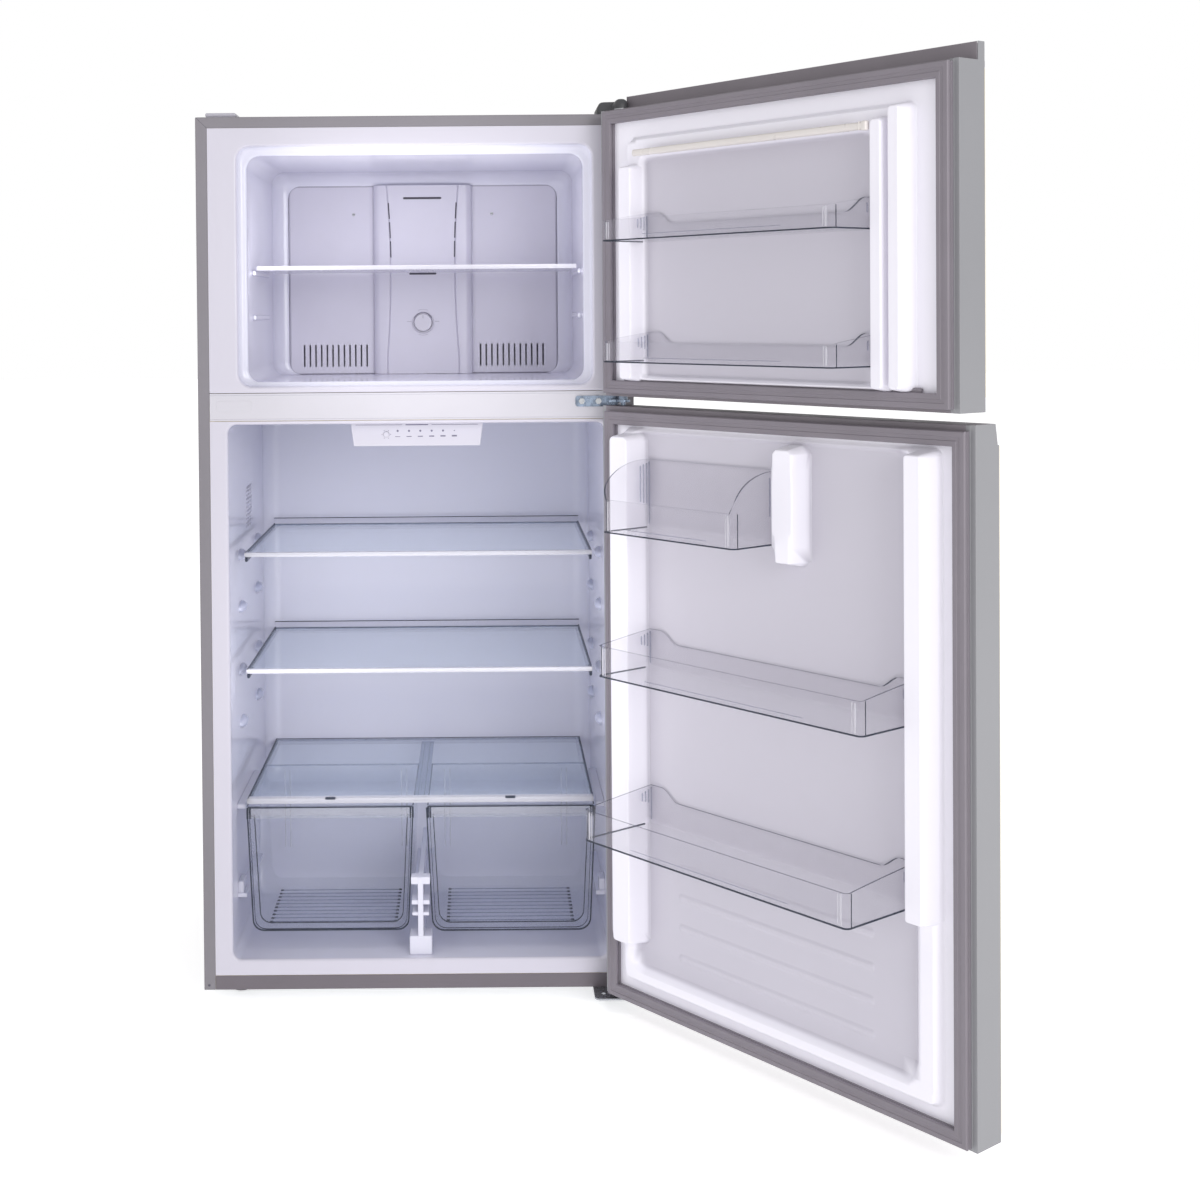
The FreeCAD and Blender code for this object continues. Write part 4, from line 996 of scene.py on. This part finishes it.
def relief(xs, zs, height, inner, pan):
    """Vacuum-formed sheet: height(x, z) gives y; the border outside the gasket has the trim's finish."""
    x0, x1, z0, z1 = inner
    px0, px1, pz0, pz1, low = pan

    def build(bm):
        pan_shade = bm.verts.layers.float.new("pan_shade")
        front = [[bm.verts.new((x, height(x, z), z)) for x in xs] for z in zs]
        for row in front:
            for v in row:
                # Painted shade weight: high on the recessed pan's floor, whose colour the door liner darkens.
                inside = smooth_step(round_rect(v.co.x, v.co.z, px0, px1, pz0, pz1, 10), 8)
                v[pan_shade] = inside * smooth_step(v.co.y - DOOR_BACK - 0.6 - low / 2, low)
        for j in range(len(zs) - 1):
            for i in range(len(xs) - 1):
                f = bm.faces.new((front[j][i], front[j][i + 1], front[j + 1][i + 1], front[j + 1][i]))
                c = f.calc_center_median()
                if c.x < x0:
                    f.material_index = 2
                elif c.x > x1 or c.z < z0 or c.z > z1:
                    f.material_index = 1
        outward(bm)
        if sum(f.normal.y for f in bm.faces) < 0:
            bmesh.ops.reverse_faces(bm, faces=bm.faces)
    return build


def foam_core(xs, zs, height):
    """Foam that fills a door: 1.9 behind the liner, clear of its side walls, flat against the skin."""
    def build(bm):
        back = DOOR_FRONT + 1.2
        around = [(i * 2.5, j * 2.5) for i in (-1, 0, 1) for j in (-1, 0, 1)]
        around += [(5, 0), (-5, 0), (0, 5), (0, -5)]
        front = [[bm.verts.new((x, min(height(x + dx, z + dz) for dx, dz in around) - 1.9, z)) for x in xs]
                 for z in zs]
        rear = [[bm.verts.new((x, back, z)) for x in xs] for z in zs]
        nx, nz = len(xs), len(zs)
        for j in range(nz - 1):
            for i in range(nx - 1):
                bm.faces.new((front[j][i], front[j][i + 1], front[j + 1][i + 1], front[j + 1][i]))
                bm.faces.new((rear[j][i], rear[j + 1][i], rear[j + 1][i + 1], rear[j][i + 1]))
        sides = [((j, i), (j, i + 1)) for i in range(nx - 1) for j in (0, nz - 1)]
        sides += [((j, i), (j + 1, i)) for j in range(nz - 1) for i in (0, nx - 1)]
        for (j, i), (q, p) in sides:
            bm.faces.new((front[j][i], front[q][p], rear[q][p], rear[j][i]))
        outward(bm)
    return build


def freezer_relief(x, z):
    y = DOOR_BACK + 12.0 * smooth_step(round_rect(x, z, -303, 303, 1096, 1500, 18), 10)
    y -= 11.7 * smooth_step(round_rect(x, z, -236, 266, 1102, 1468, 14), 14)
    for x0, x1, z0, z1 in ((-303, -277, 1096, 1500), (-270, -244, 1096, 1484), (268, 303, 1096, 1455)):
        d = round_rect(x, z, x0, x1, z0, z1, 9)
        y = max(y, DOOR_BACK + 31.2 * smooth_step(d, 9))
    return y


DIKES = ((-322, -286, 342, 1010, 8, 29.5), (274, 322, 150, 1006, 12, 29.5), (-82, -34, 822, 1006, 22, 24))


def fridge_relief(x, z):
    y = DOOR_BACK + 15.0 * smooth_step(round_rect(x, z, -322, 322, 82, 1012, 14), 12)
    slope = 24 - 10 * smooth_step(850 - z, 100)
    y -= 14.7 * smooth_step(round_rect(x, z, -286, 302, 106, 1011, 30), slope)
    for x0, x1, z0, z1, r, top in DIKES:
        d = round_rect(x, z, x0, x1, z0, z1, r)
        y = max(y, DOOR_BACK + (top - DOOR_BACK) * smooth_step(d, 10))
    for k in range(4):
        y += 1.6 * smooth_step(round_rect(x, z, -200, 200, 140 + k * 50, 150 + k * 50, 4), 8)
    return y


GASKET_INSIDE = (-364.5, 366.5)
FZ_X = grid_lines(-372, 372, (-364.5, -303, -279, -270, -246, -238, 264, 270, 303, 366.5), 1.0, 7)
FZ_Z = grid_lines(1067.6, 1554.8, (1074.5, 1096, 1101, 1455, 1470, 1484, 1500, 1550), 1.0, 7)
piece("freezer_door_pan",
      relief(FZ_X, FZ_Z, freezer_relief, (*GASKET_INSIDE, 1074.5, 1550), (-246, 270, 1100, 1470, 7)),
      ("door_liner", "cap", "skin"), "freezer_door", "freezer_door_liner", angle=80, solidify=1.2)
FZ_CORE_X = grid_lines(-378.5, 378.5, (-303, -279, -270, -246, -238, 264, 270, 303), 2, 6)
FZ_CORE_Z = grid_lines(1088, 1544, (1096, 1101, 1455, 1470, 1484, 1500), 2, 6)
piece("freezer_door_core", foam_core(FZ_CORE_X, FZ_CORE_Z, freezer_relief), ("foam",), "freezer_door",
      "freezer_door_foam", angle=80)
FR_X = grid_lines(-372, 372, (-364.5, -322, -286, -200, -82, -34, 200, 274, 302, 322, 366.5), 1.0, 12)
FR_EDGES = (40.8, 82, 106, 140, 150, 190, 200, 240, 250, 290, 300, 342, 822, 1000, 1006, 1012, 1040)
FR_Z = grid_lines(36, 1050, FR_EDGES, 1.0, 7)
piece("fridge_door_pan",
      relief(FR_X, FR_Z, fridge_relief, (*GASKET_INSIDE, 40.8, 1040), (-288, 304, 100, 1012, 9)),
      ("door_liner", "cap", "skin"), "fridge_door", "fridge_door_liner", angle=80, solidify=1.2)
FR_CORE_X = grid_lines(-378.5, 378.5, (-322, -286, -82, -34, 274, 302, 322), 2, 12)
FR_CORE_Z = grid_lines(46.5, 1019, (82, 106, 150, 342, 822, 1000, 1006, 1012), 2, 12)
piece("fridge_door_core", foam_core(FR_CORE_X, FR_CORE_Z, fridge_relief), ("foam",), "fridge_door",
      "fridge_door_foam", angle=80)


def door_bin(x0, x1, reach, z0, z1, rise, curved=False):
    """Clear bin: ears at the back corners, ends falling to a lower front, thick dark edges."""
    back = DOOR_BACK + 1.0
    wall = 2.4
    corner = 9.0

    def height(x, y):
        depth = (y - back) / (reach - back)
        if curved:
            return z1 + rise * math.sqrt(max(0.0, 1 - max(0.0, depth - 0.12) ** 2 / 0.7744))
        if depth < 0.02:
            inward = min(x - x0, x1 - x)
            t = max(0.0, min(1.0, (inward - 26) / 36))
            return z1 + rise - (rise + 5) * t * t * (3 - 2 * t)
        return z1 + rise * max(0.0, 1 - depth * 1.04) ** 0.9

    def outline(inset):
        r = corner - inset
        steps = 14 if curved else 9
        left, right = x0 + inset, x1 - inset
        low, high = back + inset, reach - inset
        side = [low + (high - r - low) * k / steps for k in range(steps + 1)]
        pts = [(left, y) for y in side[:-1]]
        for centre, first in ((left + r, 180), (right - r, 90)):
            pts += [(centre + r * math.cos(a), high - r + r * math.sin(a))
                    for a in turn_points(first - 90 * k / 5 for k in range(6))]
        pts += [(right, y) for y in side[:-1][::-1]]
        pts += [(right - step, low) for step in (26, 32, 38, 44, 50, 56, 62)]
        pts += [(left + step, low) for step in (62, 56, 50, 44, 38, 32, 26)]
        return pts

    def build(bm):
        out, inn = outline(0), outline(wall)
        n = len(out)
        tops_o = [bm.verts.new((x, y, height(x, y))) for x, y in out]
        lows_o = [bm.verts.new((x, y, z0)) for x, y in out]
        tops_i = [bm.verts.new((xi, yi, height(*out[k]))) for k, (xi, yi) in enumerate(inn)]
        lows_i = [bm.verts.new((x, y, z0 + wall)) for x, y in inn]
        made = []
        for k in range(n):
            j = (k + 1) % n
            made.append((bm.faces.new((lows_o[k], lows_o[j], tops_o[j], tops_o[k])), 0))
            made.append((bm.faces.new((lows_i[k], tops_i[k], tops_i[j], lows_i[j])), 0))
            made.append((bm.faces.new((tops_o[k], tops_o[j], tops_i[j], tops_i[k])), 1))
        made.append((bm.faces.new(lows_o[::-1]), 0))
        made.append((bm.faces.new(lows_i), 0))
        outward(bm, [f for f, _ in made])
        for f, m in made:
            f.material_index = m
        low = [Vector((out[k][0], out[k][1], z0)) for k in range(n) if out[k][1] > back + 1]
        sweep(bm, low, [(-0.2, -0.2), (1.8, -0.2), (1.8, 2.0), (-0.2, 2.0)], False, 1, Vector((0, 0, 1)))
        for x, way in ((x0, 1), (x1, -1)):
            edge = reach - corner - 0.2
            block(bm, *pair(way, -0.2, 1.0, x), edge - 1.4, edge, z0, z1 - 0.5, 0.3, 1, 1)
            # Painted highlight: two milky strips near each front corner stand in for the glints on the clear
            # bin.
            block(bm, *pair(way, 11, 14, x), reach - 2.6, reach - 0.9, z0 + 3, z1 - 3, 0.7, 2, 3)
            block(bm, *pair(way, 17, 18.6, x), reach - 2.4, reach - 1.0, z0 + 3, z1 - 3, 0.5, 2, 3)
            for k in range(3):
                y = back + 8 + k * 7
                low, high = z1 - 14 + k * 2, z1 + rise - 6 - k * 2
                block(bm, *pair(way, 2, 4.2, x), y, y + 2.5, low, high, 0.6, 1, 2)
            block(bm, *pair(way, 0, 2, x), back - 0.2, back + 2.6, z0 + 6, z1 + rise - 4, 0.8, 1, 2)
        span = x1 - x0
        block(bm, x0 + 0.2 * span, x1 - 0.2 * span, reach - 2.6, reach - 1.4, z0 + 8, z0 + 9, 0.3, 1, 2)
    return build


BINS = (
    ("freezer_bin_upper", "upper_freezer_bin", (-240, 262, 88, 1326, 1360, 14)),
    ("freezer_bin_lower", "lower_freezer_bin", (-240, 262, 88, 1129, 1163, 14)),
    ("door_bin_middle", "middle_door_bin", (-278, 266, 108, 617, 667, 14)),
    ("door_bin_lower", "lower_door_bin", (-278, 266, 140, 355, 405, 14)),
    ("dairy_bin", "dairy_compartment", (-26, 266, 95, 851, 905, 60, True)),
)
for node, body, sizes in BINS:
    piece(node + "_tray", door_bin(*sizes), ("clear", "clear_rim", "clear_dim", "milky_and_glint"), body, node)


def top_bar(bm):
    section = [(p.x + 17, p.z + 1473) for p in rect_ring(4.6, 4.6, -5.6, 5.6, 4, 0, 5)]
    prism(bm, section, "X", -237, 260, 0, 0.6, 2)
    block(bm, -244, -234, 12.5, 21.5, 1466, 1480, 2.5, 3)
    block(bm, -200, 222, DOOR_BACK, 14, 1469.8, 1474.5, 1, 1)
    block(bm, -232, -230.6, 12, 22, 1466.8, 1479.2, 0.3, 1)


piece("freezer_door_rod", top_bar, ("cream",), "freezer_door", "freezer_door_bar")


def lip_trim(bm):
    """Cap on the freezer door's upper edge, carried up behind the handle lip."""
    block(bm, -378.8, 378.8, -71.0, -15.2, 1545, 1554.8, 1, 2)
    block(bm, -379, 359.2, -54.3, -53.3, 1554, 1580.6, 0.4, 1)
    lathe(bm, (358, -40, 1546), (358, -40, 1556), [(0, 6.5), (9.6, 6.5), (10, 6)], 32)


piece("freezer_top_trim", lip_trim, ("cap",), "freezer_door", "freezer_door_top_cap")

# ---- carried-over CAD nodes ----
for node, mat in {
    "back_panel": "steel", "base_plate": "steel", "compressor_tray": "steel", "cabinet_foam": "foam",
    "evaporator_coil": "aluminium", "fan_motor": "black", "evaporator_fan": "dark", "top_hinge": "steel",
    "middle_hinge": "zinc", "bottom_hinge": "hinge", "hinge_screws": "steel",
    "compressor": "black", "compressor_grommets": "rubber", "drain_pan": "dark", "left_roller": "dark",
    "right_roller": "dark", "left_foot": "dark", "right_foot": "dark", "freezer_door_skin": "skin",
    "fridge_door_skin": "skin", "freezer_door_bottom_cap": "cap",
    "fridge_door_top_cap": "cap", "fridge_door_bottom_cap": "cap",
}.items():
    paint(node, mat)

# ---- camera ----
camera = bpy.data.cameras.new("camera")
camera.sensor_width = 36.0
camera.lens = 52.463
camera.shift_x = 0.0979
camera.shift_y = -0.2139
camera.clip_end = 100.0
eye = place("camera", camera)
PITCH, ROLL, FEET = 1.0, 0.46, 0.028
eye.location = (0.117, -3.0463, 1.1832 + FEET)
eye.rotation_mode = "QUATERNION"
look = Matrix.Rotation(math.radians(90 - PITCH), 4, "X") @ Matrix.Rotation(math.radians(-ROLL), 4, "Z")
eye.rotation_quaternion = look.to_quaternion()
scene.camera = eye

# ---- floor and light ----
def plane(name, size, rgb):
    bm = bmesh.new()
    bmesh.ops.create_grid(bm, x_segments=1, y_segments=1, size=size)
    data = mesh_of(bm, name)
    mat = solid(name, rgb, 0.8, 0.01, 0.5, 50, 0.01)
    glow = mat.node_tree.nodes["Principled BSDF"].inputs
    glow["Emission Color"].default_value = (1, 1, 1, 1)
    glow["Emission Strength"].default_value = 0.5
    data.materials.append(mat)
    place(name, data)


plane("floor", 30.0, (0.985, 0.985, 0.985))


def area(name, spot, target, size, power):
    data = bpy.data.lights.new(name, "AREA")
    data.shape = "RECTANGLE"
    data.size, data.size_y = size
    data.energy = power
    obj = place(name, data)
    obj.location = spot
    obj.rotation_mode = "QUATERNION"
    obj.rotation_quaternion = (Vector(target) - Vector(spot)).to_track_quat("-Z", "Y")
    return obj


area("key", (2.2, -4.3, 2.0), (0.4, -0.1, 0.9), (2.2, 2.0), 80)
area("front", (-0.6, -4.8, 2.2), (0.1, 0.2, 0.9), (3.0, 2.2), 15)
FILLS = (
    ("freezer_up", (0, 0.05, 1.33), (0, 0.24, 1.49), (0.5, 0.05), 0.22),
    ("freezer_left", (0.2, -0.1, 1.29), (-0.295, 0.25, 1.29), (0.34, 0.1), 0.4),
    ("freezer_right", (-0.2, -0.1, 1.29), (0.295, 0.25, 1.29), (0.34, 0.1), 0.7),
    ("fridge_left", (0.2, -0.16, 0.6), (-0.33, 0.25, 0.6), (0.8, 0.16), 0.8),
    ("fridge_right", (-0.2, -0.16, 0.6), (0.33, 0.25, 0.6), (0.8, 0.16), 1.6),
)
for label, spot, target, size, power in FILLS:
    lamp = area(label, spot, target, size, power)
    lamp.visible_camera = False
    lamp.visible_glossy = False
    lamp.visible_transmission = False

AMBIENT = 0.66
world = bpy.data.worlds.new("studio")
world.use_nodes = True
scene.world = world
background = world.node_tree.nodes["Background"]
background.inputs["Color"].default_value = (1, 1, 1, 1)
rays = world.node_tree.nodes.new("ShaderNodeLightPath")
level = world.node_tree.nodes.new("ShaderNodeMapRange")
level.inputs["To Min"].default_value = AMBIENT
level.inputs["To Max"].default_value = 1.0
link(world.node_tree, rays, "Is Camera Ray", level, "Value")
link(world.node_tree, level, "Result", background, "Strength")

scene.cycles.diffuse_bounces = 8
scene.cycles.max_bounces = 16
scene.cycles.transparent_max_bounces = 40
scene.view_settings.view_transform = "Standard"
scene.view_settings.look = "None"
